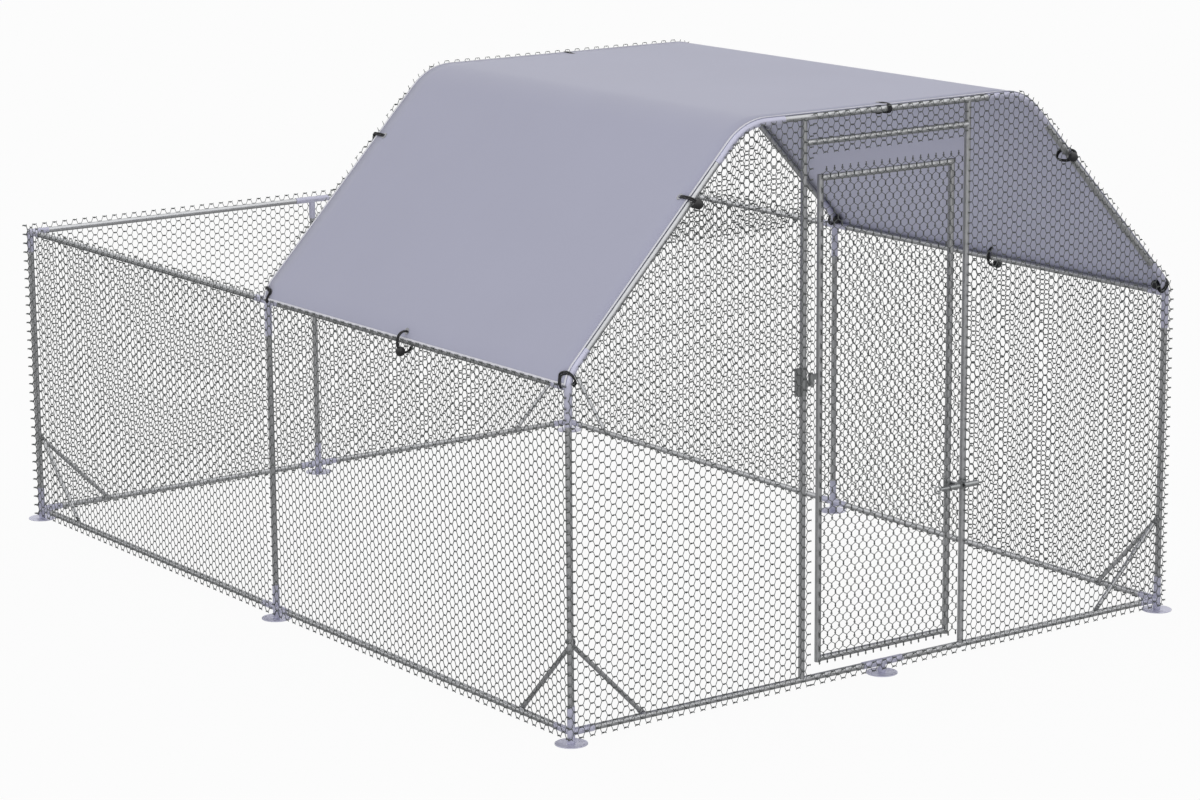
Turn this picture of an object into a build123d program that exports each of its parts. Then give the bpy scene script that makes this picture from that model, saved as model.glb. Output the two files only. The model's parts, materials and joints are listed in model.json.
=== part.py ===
from build123d import *
from math import asin, atan2, cos, degrees, hypot, radians, sin, sqrt, tan
import os

# Walk-in hen house: a tubular frame with a covered front bay, an open-topped run behind it and a hinged door.
# Millimetres. X runs to the right along the front, Y to the back, Z up. The origin is on the ground, under
# the middle arch, in the centre of the footprint.

# Frame, between tube centre lines
FRAME_WIDTH = 2650.0
BAY_LENGTH = 1875.0
BASE_RAIL_Z = 40.0
EAVE_RAIL_Z = 1190.0
SHOULDER_RISE = 34.0
RIDGE_Z = 1975.0
RIDGE_WIDTH = 1220.0
EAVE_BEND_RADIUS = 110.0
RIDGE_BEND_RADIUS = 205.0

# Tubes and the pressed sockets that join them
TUBE_DIAMETER = 22.0
TUBE_WALL = 1.2
SOCKET_WALL = 1.85
SOCKET_FIT = 0.15
SOCKET_STOP = 15.0
SOCKET_STEP = 0.35
BUTT_FIT = 0.3
CUT_REACH = 60.0
FOOT_SOCKET = 88.0
EAVE_SOCKET_DROP = 128.0
EAVE_SOCKET_SLOPE = 66.0
RAIL_SOCKET = 80.0
RIDGE_SOCKET = 76.0

# Feet and corner braces
FOOT_DIAMETER = 110.0
FOOT_THICKNESS = 3.0
FOOT_EDGE_ROUND = 1.0
BRACE_DIAMETER = 16.0
BRACE_WALL = 1.2
BRACE_LEG = 305.0
BRACE_TAB_THICKNESS = 3.0
BRACE_TAB_WIDTH = 20.0
BRACE_TAB_LENGTH = 46.0

# Doorway and door, between tube centre lines
DOORWAY_WIDTH = 720.0
DOORWAY_HEADER_DROP = 86.0
DOOR_WIDTH = 578.0
DOOR_FOOT_GAP = 63.0
DOOR_HEAD_GAP = 123.0

# Hinge on the left side of the door, at a share of the door's height
HINGE_SHARE = 0.589
HINGE_SLEEVE_LENGTH = 96.0
HINGE_PIN_DIAMETER = 8.0
HINGE_KNUCKLE_DIAMETER = 20.0
HINGE_KNUCKLE_LENGTH = 20.0
HINGE_PLATE = 6.0
HINGE_HEAD_DIAMETER = 14.0
HINGE_HEAD_LENGTH = 4.0
HINGE_EAR_LENGTH = 20.0
HINGE_RUNNING_FIT = 0.05
HINGE_FACE_GAP = 0.3

# Slide bolt on the free side of the door, at a share of its height, and its keeper on the post
LATCH_SHARE = 0.315
LATCH_STAND_OFF = 32.0
LATCH_SLEEVE_LENGTH = 40.0
LATCH_BARREL_DIAMETER = 18.0
LATCH_BARREL_LENGTH = 42.0
LATCH_BRACKET_WIDTH = 14.0
LATCH_BRACKET_HEIGHT = 26.0
LATCH_TRAVEL = 38.0
BOLT_DIAMETER = 10.0
BOLT_RUNNING_FIT = 0.08
BOLT_TIP_CHAMFER = 1.5
BOLT_NOSE = 2.0
PULL_RING_RADIUS = 12.0
PULL_RING_WIRE = 6.0
KEEPER_FIT = 0.6
KEEPER_DIAMETER = 20.0
KEEPER_LENGTH = 62.0
KEEPER_SETBACK = 22.0

# Wire netting, drawn with a wide hexagonal cell
NET_THICKNESS = 1.0
NET_SEAT = 0.3
NET_STRAND = 9.0
NET_BORDER = 8.0
NET_PITCH = 264.0
NET_COLUMN = 175.0
NET_TWIST = 80.0
NET_LEAST_SHARE = 0.05
NET_HEM = 20.0
NET_OVERHANG = 25.0
NET_ARCH_OVERHANG = 8.0
NET_JAMB_LAP = 5.0
NET_STILE_LAP = 6.0
NET_JOIN = 1.0

# Cover over the front bay, with its eyelets and ball ties
COVER_THICKNESS = 1.5
COVER_SEAT = 0.3
COVER_EDGE_RISE = 7.0
COVER_END_LAP = 4.0
EYELET_HOLE = 11.0
EYELET_BARREL = 15.0
EYELET_FLANGE = 24.0
EYELET_FLANGE_THICKNESS = 1.0
EYELET_FIT = 0.3
EYELET_INSET = 44.0
CORNER_EYELET_INSET = 30.0
TIE_LOOP_RADIUS = 28.0
TIE_LOOP_DROP = 2.0
TIE_FRONT_REACH = 6.0
TIE_TUCKED_REACH = 0.0
TIE_TIGHT_RADIUS = 22.0
TIE_TIGHT_DROP = 0.0
TIE_CORD_DIAMETER = 5.0
TIE_CORD_SIDES = 6
TIE_BALL_DIAMETER = 34.0
TIE_BALL_FIT = 0.3
TIE_PASS_DIAMETER = 16.0
TIE_RAFTER_SHARE = 0.69
TIE_FRONT_BALL_ANGLE = 195.0
TIE_TUCKED_BALL_ANGLE = -25.0
EAVE_TIE_RADIUS = 30.0
EAVE_TIE_REACH = 6.0
EAVE_TIE_BALL_ANGLE = 143.0

# Derived places
HALF_WIDTH = FRAME_WIDTH / 2
FRONT_Y = -BAY_LENGTH
REAR_Y = BAY_LENGTH
TUBE_RADIUS = TUBE_DIAMETER / 2
BORE_RADIUS = TUBE_RADIUS + SOCKET_FIT
SOCKET_RADIUS = BORE_RADIUS + SOCKET_WALL
SHOULDER_Z = EAVE_RAIL_Z + SHOULDER_RISE
RAFTER_RUN = HALF_WIDTH - RIDGE_WIDTH / 2
RAFTER_RISE = RIDGE_Z - SHOULDER_Z
SLOPE = degrees(atan2(RAFTER_RISE, RAFTER_RUN))
EAVE_TURN = 90 - SLOPE
EAVE_TANGENT = EAVE_BEND_RADIUS * tan(radians(EAVE_TURN / 2))
RIDGE_TANGENT = RIDGE_BEND_RADIUS * tan(radians(SLOPE / 2))
EAVE_BEND_X = HALF_WIDTH - EAVE_BEND_RADIUS
EAVE_BEND_Z = SHOULDER_Z - EAVE_TANGENT
RIDGE_BEND_X = RIDGE_WIDTH / 2 - RIDGE_TANGENT
RIDGE_BEND_Z = RIDGE_Z - RIDGE_BEND_RADIUS
NET_OFFSET = SOCKET_RADIUS + NET_SEAT
COVER_OFFSET = SOCKET_RADIUS + COVER_SEAT
DOORWAY_HEADER_Z = RIDGE_Z - DOORWAY_HEADER_DROP
DOOR_BOTTOM_Z = BASE_RAIL_Z + DOOR_FOOT_GAP
DOOR_TOP_Z = DOORWAY_HEADER_Z - DOOR_HEAD_GAP
DOOR_HEIGHT = DOOR_TOP_Z - DOOR_BOTTOM_Z
STILE_X = DOOR_WIDTH / 2
JAMB_X = DOORWAY_WIDTH / 2
HINGE_X = -(STILE_X + JAMB_X) / 2
HINGE_Z = DOOR_BOTTOM_Z + HINGE_SHARE * DOOR_HEIGHT
EAVE_TIE_STAND_OFF = EAVE_TIE_RADIUS - TUBE_RADIUS - BUTT_FIT - TIE_CORD_DIAMETER / 2
HINGE_EYE_RADIUS = HINGE_PIN_DIAMETER / 2 + HINGE_RUNNING_FIT
LATCH_Y = FRONT_Y - LATCH_STAND_OFF
LATCH_Z = DOOR_BOTTOM_Z + LATCH_SHARE * DOOR_HEIGHT

LEFT_RIGHT = Plane.YZ
BAY_MIDDLE = Plane.XZ.offset(BAY_LENGTH / 2)
FRONT_WALL = Plane((0, FRONT_Y - NET_OFFSET, 0), x_dir=(1, 0, 0), z_dir=(0, -1, 0))
HEADER_WALL = Plane((0, FRONT_Y - TUBE_RADIUS - NET_SEAT, 0), x_dir=(1, 0, 0), z_dir=(0, -1, 0))
REAR_WALL = Plane((0, REAR_Y + NET_OFFSET, 0), x_dir=(-1, 0, 0), z_dir=(0, 1, 0))
MIDDLE_WALL = Plane((0, NET_OFFSET, 0), x_dir=(-1, 0, 0), z_dir=(0, 1, 0))
RIGHT_WALL = Plane((HALF_WIDTH + NET_OFFSET, 0, 0), x_dir=(0, 1, 0), z_dir=(1, 0, 0))


def rod(start, end, radius):
    """Solid round bar between two points."""
    start, end = Vector(*start), Vector(*end)
    run = end - start
    seat = Plane(start, z_dir=run.normalized())
    return seat * Cylinder(radius, run.length, align=(Align.CENTER, Align.CENTER, Align.MIN))


def tube(start, end, radius=TUBE_RADIUS, wall=TUBE_WALL):
    """Round tube between two points."""
    return rod(start, end, radius) - rod(start, end, radius - wall)


def ring(start, end, outer, inner):
    """Sleeve or collar between two points."""
    return rod(start, end, outer) - rod(start, end, inner)


def mirrored_pair(shape, plane=LEFT_RIGHT):
    """A piece and its mirror image, as two solids of one node."""
    return [shape, mirror(shape, about=plane)]


def both_ends(shapes):
    """Pieces of the front arch with their mirror images on the middle arch."""
    return shapes + [mirror(shape, about=BAY_MIDDLE) for shape in shapes]


def arch_point(angle, offset=0.0, ridge=False):
    """Point of the right half of an arch, on its eave bend or its ridge bend, as x and z."""
    bend_x, bend_z, bend = (EAVE_BEND_X, EAVE_BEND_Z, EAVE_BEND_RADIUS)
    if ridge:
        bend_x, bend_z, bend = (RIDGE_BEND_X, RIDGE_BEND_Z, RIDGE_BEND_RADIUS)
    reach = bend + offset
    return bend_x + reach * cos(radians(angle)), bend_z + reach * sin(radians(angle))


def slope_point(share):
    """Point on the right rafter's centre line, from the shoulder corner at 0 to the ridge corner at 1."""
    return HALF_WIDTH - share * RAFTER_RUN, SHOULDER_Z + share * RAFTER_RISE


# Connectors

def arm_rods(centre, arms, first_step=0):
    """Walls and bores of the sockets round one centre, each a step slimmer than the one before."""
    centre = Vector(*centre)
    walls = []
    bores = []
    for count, (way, reach) in enumerate(arms):
        end = centre + Vector(*way) * reach
        walls.append(rod(centre, end, SOCKET_RADIUS - (first_step + count) * SOCKET_STEP))
        bores.append(rod(centre + Vector(*way) * SOCKET_STOP, end, BORE_RADIUS))
    return walls, bores


def socketed(centre, arms):
    """Pressed connector with open sockets round one centre."""
    walls, bores = arm_rods(centre, arms)
    return walls[0].fuse(*walls[1:]).cut(*bores)


def bent_connector(path, centre, arms):
    """Pressed connector with one bent through socket and side sockets."""
    walls, bores = arm_rods(centre, arms, first_step=1)
    return swept(path, SOCKET_RADIUS).fuse(*walls).cut(swept(path, BORE_RADIUS), *bores)


def swept(path, radius):
    """Round bar swept along a path from its start."""
    return sweep(Plane(path @ 0, z_dir=path % 0) * Circle(radius), path)


def foot(x, y, ways, post=True):
    """Base connector on its round foot plate."""
    up = [((0, 0, 1), FOOT_SOCKET)] if post else []
    walls, bores = arm_rods((x, y, BASE_RAIL_Z), up + [(way, FOOT_SOCKET) for way in ways])
    plate = rod((x, y, 0), (x, y, FOOT_THICKNESS), FOOT_DIAMETER / 2)
    plate = fillet(plate.edges().group_by(Axis.Z)[-1], FOOT_EDGE_ROUND)
    stem = rod((x, y, FOOT_THICKNESS / 2), (x, y, BASE_RAIL_Z), SOCKET_RADIUS)
    return plate.fuse(stem, *walls).cut(*bores)


def eave_elbow(y, rail_ways):
    """Right-hand elbow from post to rafter, with sockets for the eave rails."""
    low = Vector(HALF_WIDTH, y, EAVE_RAIL_Z - EAVE_SOCKET_DROP)
    turn_start = Vector(HALF_WIDTH, y, EAVE_BEND_Z)
    middle_x, middle_z = arch_point(EAVE_TURN / 2)
    end_x, end_z = arch_point(EAVE_TURN)
    turn_end = Vector(end_x, y, end_z)
    up_slope = Vector(-cos(radians(SLOPE)), 0, sin(radians(SLOPE)))
    path = Wire([
        Line(low, turn_start),
        ThreePointArc(turn_start, (middle_x, y, middle_z), turn_end),
        Line(turn_end, turn_end + up_slope * EAVE_SOCKET_SLOPE),
    ])
    rail_centre = (HALF_WIDTH, y, EAVE_RAIL_Z)
    return bent_connector(path, rail_centre, [((0, way, 0), RAIL_SOCKET) for way in rail_ways])


def ridge_elbow(y, purlin_way):
    """Right-hand elbow from rafter to ridge bar, with a socket for the purlin."""
    start_x, start_z = arch_point(EAVE_TURN, ridge=True)
    middle_x, middle_z = arch_point((EAVE_TURN + 90) / 2, ridge=True)
    end_x, end_z = arch_point(90, ridge=True)
    turn_start = Vector(start_x, y, start_z)
    turn_end = Vector(end_x, y, end_z)
    down_slope = Vector(cos(radians(SLOPE)), 0, -sin(radians(SLOPE)))
    path = Wire([
        Line(turn_start + down_slope * RIDGE_SOCKET, turn_start),
        ThreePointArc(turn_start, (middle_x, y, middle_z), turn_end),
        Line(turn_end, turn_end - Vector(RIDGE_SOCKET, 0, 0)),
    ])
    return bent_connector(path, (middle_x, y, middle_z), [((0, purlin_way, 0), RAIL_SOCKET)])


# Frame tubes

def post(x, y, top):
    """Upright between its foot socket and its top socket."""
    return tube((x, y, BASE_RAIL_Z + SOCKET_STOP + SOCKET_FIT), (x, y, top))


def level_rail(start, end):
    """Rail between the stops of two sockets, given the connector centres."""
    start, end = Vector(*start), Vector(*end)
    reach = (end - start).normalized() * (SOCKET_STOP + SOCKET_FIT)
    return tube(start + reach, end - reach)


def side_rail(start_y, z):
    """Right-hand rail along one bay."""
    return level_rail((HALF_WIDTH, start_y, z), (HALF_WIDTH, start_y + BAY_LENGTH, z))


def rafter(y):
    """Right-hand rafter between the bends of its two elbows."""
    low_x, low_z = arch_point(EAVE_TURN)
    high_x, high_z = arch_point(EAVE_TURN, ridge=True)
    return tube((low_x, y, low_z), (high_x, y, high_z))


def ridge_bar(y):
    """Level tube along the top of an arch."""
    return tube((-RIDGE_BEND_X, y, RIDGE_Z), (RIDGE_BEND_X, y, RIDGE_Z))


def purlin():
    """Right-hand tube that joins the two arches at the ridge bends."""
    x, z = arch_point((EAVE_TURN + 90) / 2, ridge=True)
    return level_rail((x, FRONT_Y, z), (x, 0, z))


def door_post():
    """Right-hand door post, notched over the base rail and under the ridge bar."""
    upright = tube((JAMB_X, FRONT_Y, BASE_RAIL_Z), (JAMB_X, FRONT_Y, RIDGE_Z))
    notch = TUBE_RADIUS + BUTT_FIT
    rail = rod((JAMB_X - CUT_REACH, FRONT_Y, BASE_RAIL_Z), (JAMB_X + CUT_REACH, FRONT_Y, BASE_RAIL_Z), notch)
    bar = rod((JAMB_X - CUT_REACH, FRONT_Y, RIDGE_Z), (JAMB_X + CUT_REACH, FRONT_Y, RIDGE_Z), notch)
    return upright - rail - bar


def notched_bar(half_length, z):
    """Level tube on the front plane between two uprights, its ends notched to fit them."""
    bar = tube((-half_length, FRONT_Y, z), (half_length, FRONT_Y, z))
    notch = TUBE_RADIUS + BUTT_FIT
    for x in (-half_length, half_length):
        bar -= rod((x, FRONT_Y, z - CUT_REACH), (x, FRONT_Y, z + CUT_REACH), notch)
    return bar


def brace(corner_x, corner_y, way_x, way_y):
    """Corner brace on the inner face of a post and a base rail, with both ends flattened."""
    along = Vector(way_x, way_y, 0)
    inward = Vector(0, -1 if corner_y > 0 else 1, 0) if way_x else Vector(-1 if corner_x > 0 else 1, 0, 0)
    inset = TUBE_RADIUS + BUTT_FIT + BRACE_TAB_THICKNESS / 2
    corner = Vector(corner_x, corner_y, BASE_RAIL_Z) + inward * inset
    top = corner + Vector(0, 0, BRACE_LEG)
    toe = corner + along * BRACE_LEG
    down = (toe - top).normalized()
    tab = Box(BRACE_TAB_LENGTH, BRACE_TAB_WIDTH, BRACE_TAB_THICKNESS)
    tab = fillet(tab.edges().filter_by(Axis.Z), BRACE_TAB_WIDTH / 2 - SOCKET_FIT)
    reach = BRACE_TAB_LENGTH / 2 - BRACE_TAB_WIDTH / 2
    ends = [Plane(spot, x_dir=down, z_dir=inward) * tab for spot in (top + down * reach, toe - down * reach)]
    shank = tube(top + down * 2 * reach, toe - down * 2 * reach, BRACE_DIAMETER / 2, BRACE_WALL)
    return shank.fuse(*ends)


# Netting

def clipped(points, outline):
    """Convex polygon of points, cut to lie inside a convex outline by the width of the net's border."""
    for start, end in zip(outline, outline[1:] + outline[:1]):
        run_u, run_v = end[0] - start[0], end[1] - start[1]
        length = hypot(run_u, run_v)
        depths = [(run_u * (v - start[1]) - run_v * (u - start[0])) / length - NET_BORDER for u, v in points]
        kept = []
        for i, (u, v) in enumerate(points):
            if depths[i - 1] * depths[i] < 0:
                share = depths[i - 1] / (depths[i - 1] - depths[i])
                before_u, before_v = points[i - 1]
                kept.append((before_u + share * (u - before_u), before_v + share * (v - before_v)))
            if depths[i] >= 0:
                kept.append((u, v))
        points = kept
    return points


def polygon_area(points):
    """Area of a polygon given in order round its edge."""
    pairs = zip(points, points[1:] + points[:1])
    return abs(sum(a[0] * b[1] - b[0] * a[1] for a, b in pairs)) / 2


def netting(outline, wall, turned=False):
    """Flat net in a convex outline, listed anticlockwise, with hexagonal gaps. Turned nets stand on end."""
    scale = 1 - NET_STRAND / NET_PITCH
    half_top = NET_TWIST / 2 * scale
    half_wide = (NET_COLUMN - NET_TWIST / 2) * scale
    half_high = NET_PITCH / 2 * scale
    cell = [(half_top, -half_high), (half_wide, 0), (half_top, half_high)]
    cell += [(-u, -v) for u, v in cell]
    if turned:
        cell = [(-v, u) for u, v in cell]
    lows = [min(point[i] for point in outline) for i in (0, 1)]
    highs = [max(point[i] for point in outline) for i in (0, 1)]
    middle = [(low + high) / 2 for low, high in zip(lows, highs)]
    wide, high = [top - low for low, top in zip(lows, highs)]
    columns = int((high if turned else wide) / 2 / NET_COLUMN) + 1
    rows = int((wide if turned else high) / 2 / NET_PITCH) + 1
    gaps = []
    for column in range(-columns, columns + 1):
        for row in range(-rows, rows + 1):
            across = column * NET_COLUMN
            along = (row + (column % 2) / 2) * NET_PITCH
            shift = (along, across) if turned else (across, along)
            gap = clipped([(middle[0] + shift[0] + u, middle[1] + shift[1] + v) for u, v in cell], outline)
            if len(gap) > 2 and polygon_area(gap) > NET_LEAST_SHARE * NET_COLUMN * NET_PITCH:
                gaps.append(Wire.make_polygon(gap))
    sheet = Face(Wire.make_polygon(outline), gaps)
    return wall * extrude(sheet, NET_THICKNESS)


def arch_edge(first_angle):
    """Edge of a net along the right half of an arch, from an angle of the eave bend up to the ridge bar."""
    angles = [first_angle, (first_angle + EAVE_TURN) / 2, EAVE_TURN]
    bend = [arch_point(angle, NET_ARCH_OVERHANG) for angle in angles]
    top_angles = [EAVE_TURN, (EAVE_TURN + 90) / 2, 90]
    top = [arch_point(angle, NET_ARCH_OVERHANG, ridge=True) for angle in top_angles]
    return bend + top


def front_right_net():
    """Right-hand front panel, from the ground rail up to the ridge bar."""
    inner, outer = JAMB_X - NET_JAMB_LAP, HALF_WIDTH + NET_OVERHANG
    side = [(inner, NET_HEM), (outer, NET_HEM), (outer, EAVE_RAIL_Z - EAVE_SOCKET_DROP)]
    return netting(side + arch_edge(0) + [(inner, RIDGE_Z + NET_ARCH_OVERHANG)], FRONT_WALL)


def over_door_net():
    edge = JAMB_X - NET_JAMB_LAP - NET_JOIN
    low, high = DOORWAY_HEADER_Z - NET_OVERHANG, RIDGE_Z + NET_ARCH_OVERHANG
    return netting([(-edge, low), (edge, low), (edge, high), (-edge, high)], HEADER_WALL)


def middle_gable_net():
    floor_z = EAVE_RAIL_Z + SOCKET_RADIUS + NET_SEAT
    right = arch_edge(degrees(asin((floor_z - EAVE_BEND_Z) / (EAVE_BEND_RADIUS + NET_ARCH_OVERHANG))))
    return netting(right + [(-x, z) for x, z in reversed(right)], MIDDLE_WALL)


def side_net(start_y, end_y, top):
    return netting([(start_y, NET_HEM), (end_y, NET_HEM), (end_y, top), (start_y, top)], RIGHT_WALL)


def rear_net():
    edge, top = HALF_WIDTH + NET_OVERHANG, EAVE_RAIL_Z + NET_OVERHANG
    return netting([(-edge, NET_HEM), (edge, NET_HEM), (edge, top), (-edge, top)], REAR_WALL)


def door_net():
    edge = STILE_X + NET_STILE_LAP
    low, high = DOOR_BOTTOM_Z - NET_OVERHANG, DOOR_TOP_Z + NET_OVERHANG
    return netting([(-edge, low), (edge, low), (edge, high), (-edge, high)], FRONT_WALL, turned=True)


# Cover, eyelets and ball ties

COVER_EDGE_Z = EAVE_RAIL_Z + COVER_EDGE_RISE
COVER_EDGE_ANGLE = degrees(asin((COVER_EDGE_Z - EAVE_BEND_Z) / (EAVE_BEND_RADIUS + COVER_OFFSET)))


def cover_line(offset):
    """Section of one face of the cover, from the right-hand edge over the ridge to the left-hand edge."""
    def spot(angle, ridge, side):
        x, z = arch_point(angle, offset, ridge)
        return Vector(side * x, 0, z)

    def bend(start, end, ridge, side):
        return ThreePointArc(*[spot(angle, ridge, side) for angle in (start, (start + end) / 2, end)])

    return [
        bend(COVER_EDGE_ANGLE, EAVE_TURN, False, 1),
        Line(spot(EAVE_TURN, False, 1), spot(EAVE_TURN, True, 1)),
        bend(EAVE_TURN, 90, True, 1),
        Line(spot(90, True, 1), spot(90, True, -1)),
        bend(90, EAVE_TURN, True, -1),
        Line(spot(EAVE_TURN, True, -1), spot(EAVE_TURN, False, -1)),
        bend(EAVE_TURN, COVER_EDGE_ANGLE, False, -1),
    ]


def cover_sheet():
    inner, outer = cover_line(COVER_OFFSET), cover_line(COVER_OFFSET + COVER_THICKNESS)
    ends = [Line(outer[0] @ 0, inner[0] @ 0), Line(outer[-1] @ 1, inner[-1] @ 1)]
    section = Face(Wire.combine(inner + outer + ends)[0])
    length = BAY_LENGTH + 2 * COVER_END_LAP
    solid = extrude(section, length, dir=(0, 1, 0))
    return Pos(0, FRONT_Y - COVER_END_LAP, 0) * solid


def tie_plane(x, z, angle):
    """Plane across a tube of the front arch: local x points back under the cover, local y out through it."""
    out = Vector(cos(radians(angle)), 0, sin(radians(angle)))
    return Plane((x, FRONT_Y, z), x_dir=(0, 1, 0), z_dir=Vector(0, 1, 0).cross(out))


def tie_loop(near, far, radius):
    """Cord loop round two centres that lie level in the local plane, as a long ring."""
    up = Vector(0, radius, 0)
    out = Vector(radius, 0, 0)
    near, far = Vector(*near), Vector(*far)
    path = Wire([
        Line(near + up, far + up),
        ThreePointArc(far + up, far + out, far - up),
        Line(far - up, near - up),
        ThreePointArc(near - up, near - out, near + up),
    ])
    section = RegularPolygon(TIE_CORD_DIAMETER / 2, TIE_CORD_SIDES)
    return sweep(Plane(path @ 0, z_dir=path % 0) * section, path)


def tie_parts(plane, eyelet, near, far, radius, ball_angle, eyelet_angle):
    """Cord loop, ball, eyelet and eyelet hole of one tie, drawn in the plane across its tube."""
    ball_at = Vector(*near) + Vector(radius, 0, 0).rotate(Axis.Z, ball_angle)
    if cos(radians(ball_angle)) > 0:
        ball_at = Vector(*far) + Vector(radius, 0, 0).rotate(Axis.Z, ball_angle)
    ball = Pos(ball_at) * Sphere(TIE_BALL_DIAMETER / 2)
    room = Pos(ball_at) * Sphere(TIE_BALL_DIAMETER / 2 + TIE_BALL_FIT)
    out = Vector(cos(radians(eyelet_angle)), sin(radians(eyelet_angle)), 0)
    seat = Vector(eyelet[0], eyelet[1], 0)
    half_cover = COVER_THICKNESS / 2
    top = seat + out * (half_cover + EYELET_FIT)
    barrel = ring(seat - out * half_cover, top, EYELET_BARREL / 2, EYELET_HOLE / 2)
    flange = ring(top, top + out * EYELET_FLANGE_THICKNESS, EYELET_FLANGE / 2, EYELET_HOLE / 2)
    hole = rod(seat - out * EYELET_BARREL, seat + out * EYELET_BARREL, EYELET_BARREL / 2 + EYELET_FIT)
    return [plane * piece for piece in (tie_loop(near, far, radius) - room, ball, barrel + flange, hole)]


def net_pass(plane, along, out, level):
    """Gap through a net for a cord, as a bar along one local direction of the tie's plane."""
    middle = Vector(along, out, 0)
    reach = Vector(0, TIE_PASS_DIAMETER, 0) if level else Vector(TIE_PASS_DIAMETER, 0, 0)
    return plane * rod(middle - reach, middle + reach, TIE_PASS_DIAMETER / 2)


def front_tie(x, z, angle, inset, ball_angle, reach, radius, drop):
    """Tie round a tube of the front arch, with the clearance that its cord needs through the net."""
    seat = COVER_OFFSET + COVER_THICKNESS / 2
    far = (inset - sqrt(radius ** 2 - (seat + drop) ** 2), -drop)
    near = (-reach, -drop)
    plane = tie_plane(x, z, angle)
    net_depth = NET_OFFSET + NET_THICKNESS / 2
    depth = drop + sqrt(radius ** 2 - (net_depth - reach) ** 2)
    parts = tie_parts(plane, (inset, seat), near, far, radius, ball_angle, 90)
    return parts + [net_pass(plane, -net_depth, -depth, level=False)]


def eave_tie():
    """Tie round the middle of the right eave rail. Local x points up and local y out from the wall."""
    plane = Plane((HALF_WIDTH, FRONT_Y / 2, EAVE_RAIL_Z), x_dir=(0, 0, 1), z_dir=(0, 1, 0))
    x, z = arch_point(EAVE_TURN / 2, COVER_OFFSET + COVER_THICKNESS / 2)
    eyelet = (z - EAVE_RAIL_Z, x - HALF_WIDTH)
    far = (eyelet[0] - sqrt(EAVE_TIE_RADIUS ** 2 - (EAVE_TIE_STAND_OFF - eyelet[1]) ** 2), EAVE_TIE_STAND_OFF)
    near = (-EAVE_TIE_REACH, EAVE_TIE_STAND_OFF)
    net_depth = NET_OFFSET + NET_THICKNESS / 2
    low = near[0] - sqrt(EAVE_TIE_RADIUS ** 2 - (net_depth - near[1]) ** 2)
    parts = tie_parts(plane, eyelet, near, far, EAVE_TIE_RADIUS, EAVE_TIE_BALL_ANGLE, 90 - EAVE_TURN / 2)
    return parts + [net_pass(plane, low, net_depth, level=True)]


# Door hardware

def hinge_post_leaf():
    """Sleeve on the left door post, with a clamping ear behind it and the lower knuckle towards the door."""
    bottom, top = HINGE_Z - HINGE_SLEEVE_LENGTH / 2, HINGE_Z + HINGE_SLEEVE_LENGTH / 2
    sleeve = rod((-JAMB_X, FRONT_Y, bottom), (-JAMB_X, FRONT_Y, top), SOCKET_RADIUS)
    ear_x = -JAMB_X - SOCKET_RADIUS - HINGE_EAR_LENGTH / 2
    ear = Pos(ear_x, FRONT_Y, HINGE_Z) * Box(HINGE_EAR_LENGTH + SOCKET_WALL, HINGE_PLATE, HINGE_SLEEVE_LENGTH)
    low = HINGE_Z - HINGE_KNUCKLE_LENGTH
    knuckle = rod((HINGE_X, FRONT_Y, low), (HINGE_X, FRONT_Y, HINGE_Z), HINGE_KNUCKLE_DIAMETER / 2)
    plate = Box(HINGE_X + JAMB_X, HINGE_PLATE, HINGE_KNUCKLE_LENGTH)
    plate = Pos((HINGE_X - JAMB_X) / 2, FRONT_Y, (low + HINGE_Z) / 2) * plate
    bore = rod((-JAMB_X, FRONT_Y, bottom), (-JAMB_X, FRONT_Y, top), BORE_RADIUS)
    eye = rod((HINGE_X, FRONT_Y, low), (HINGE_X, FRONT_Y, HINGE_Z), HINGE_EYE_RADIUS)
    return sleeve.fuse(ear, knuckle, plate).cut(bore, eye)


def hinge_door_leaf():
    """Upper knuckle with the plate that holds the door's left stile."""
    low = HINGE_Z + HINGE_FACE_GAP
    high = low + HINGE_KNUCKLE_LENGTH
    knuckle = rod((HINGE_X, FRONT_Y, low), (HINGE_X, FRONT_Y, high), HINGE_KNUCKLE_DIAMETER / 2)
    plate = Box(-STILE_X - HINGE_X, HINGE_PLATE, HINGE_KNUCKLE_LENGTH)
    plate = Pos((HINGE_X - STILE_X) / 2, FRONT_Y, (low + high) / 2) * plate
    eye = rod((HINGE_X, FRONT_Y, low), (HINGE_X, FRONT_Y, high), HINGE_EYE_RADIUS)
    stile = rod((-STILE_X, FRONT_Y, low), (-STILE_X, FRONT_Y, high), TUBE_RADIUS + BUTT_FIT)
    return knuckle.fuse(plate).cut(eye, stile)


def hinge_pin():
    """Headed pin that carries the door."""
    low = HINGE_Z - HINGE_KNUCKLE_LENGTH
    top = HINGE_Z + HINGE_KNUCKLE_LENGTH + 2 * HINGE_FACE_GAP
    shank = rod((HINGE_X, FRONT_Y, low), (HINGE_X, FRONT_Y, top), HINGE_PIN_DIAMETER / 2)
    head = rod((HINGE_X, FRONT_Y, top), (HINGE_X, FRONT_Y, top + HINGE_HEAD_LENGTH), HINGE_HEAD_DIAMETER / 2)
    return shank + head


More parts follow.
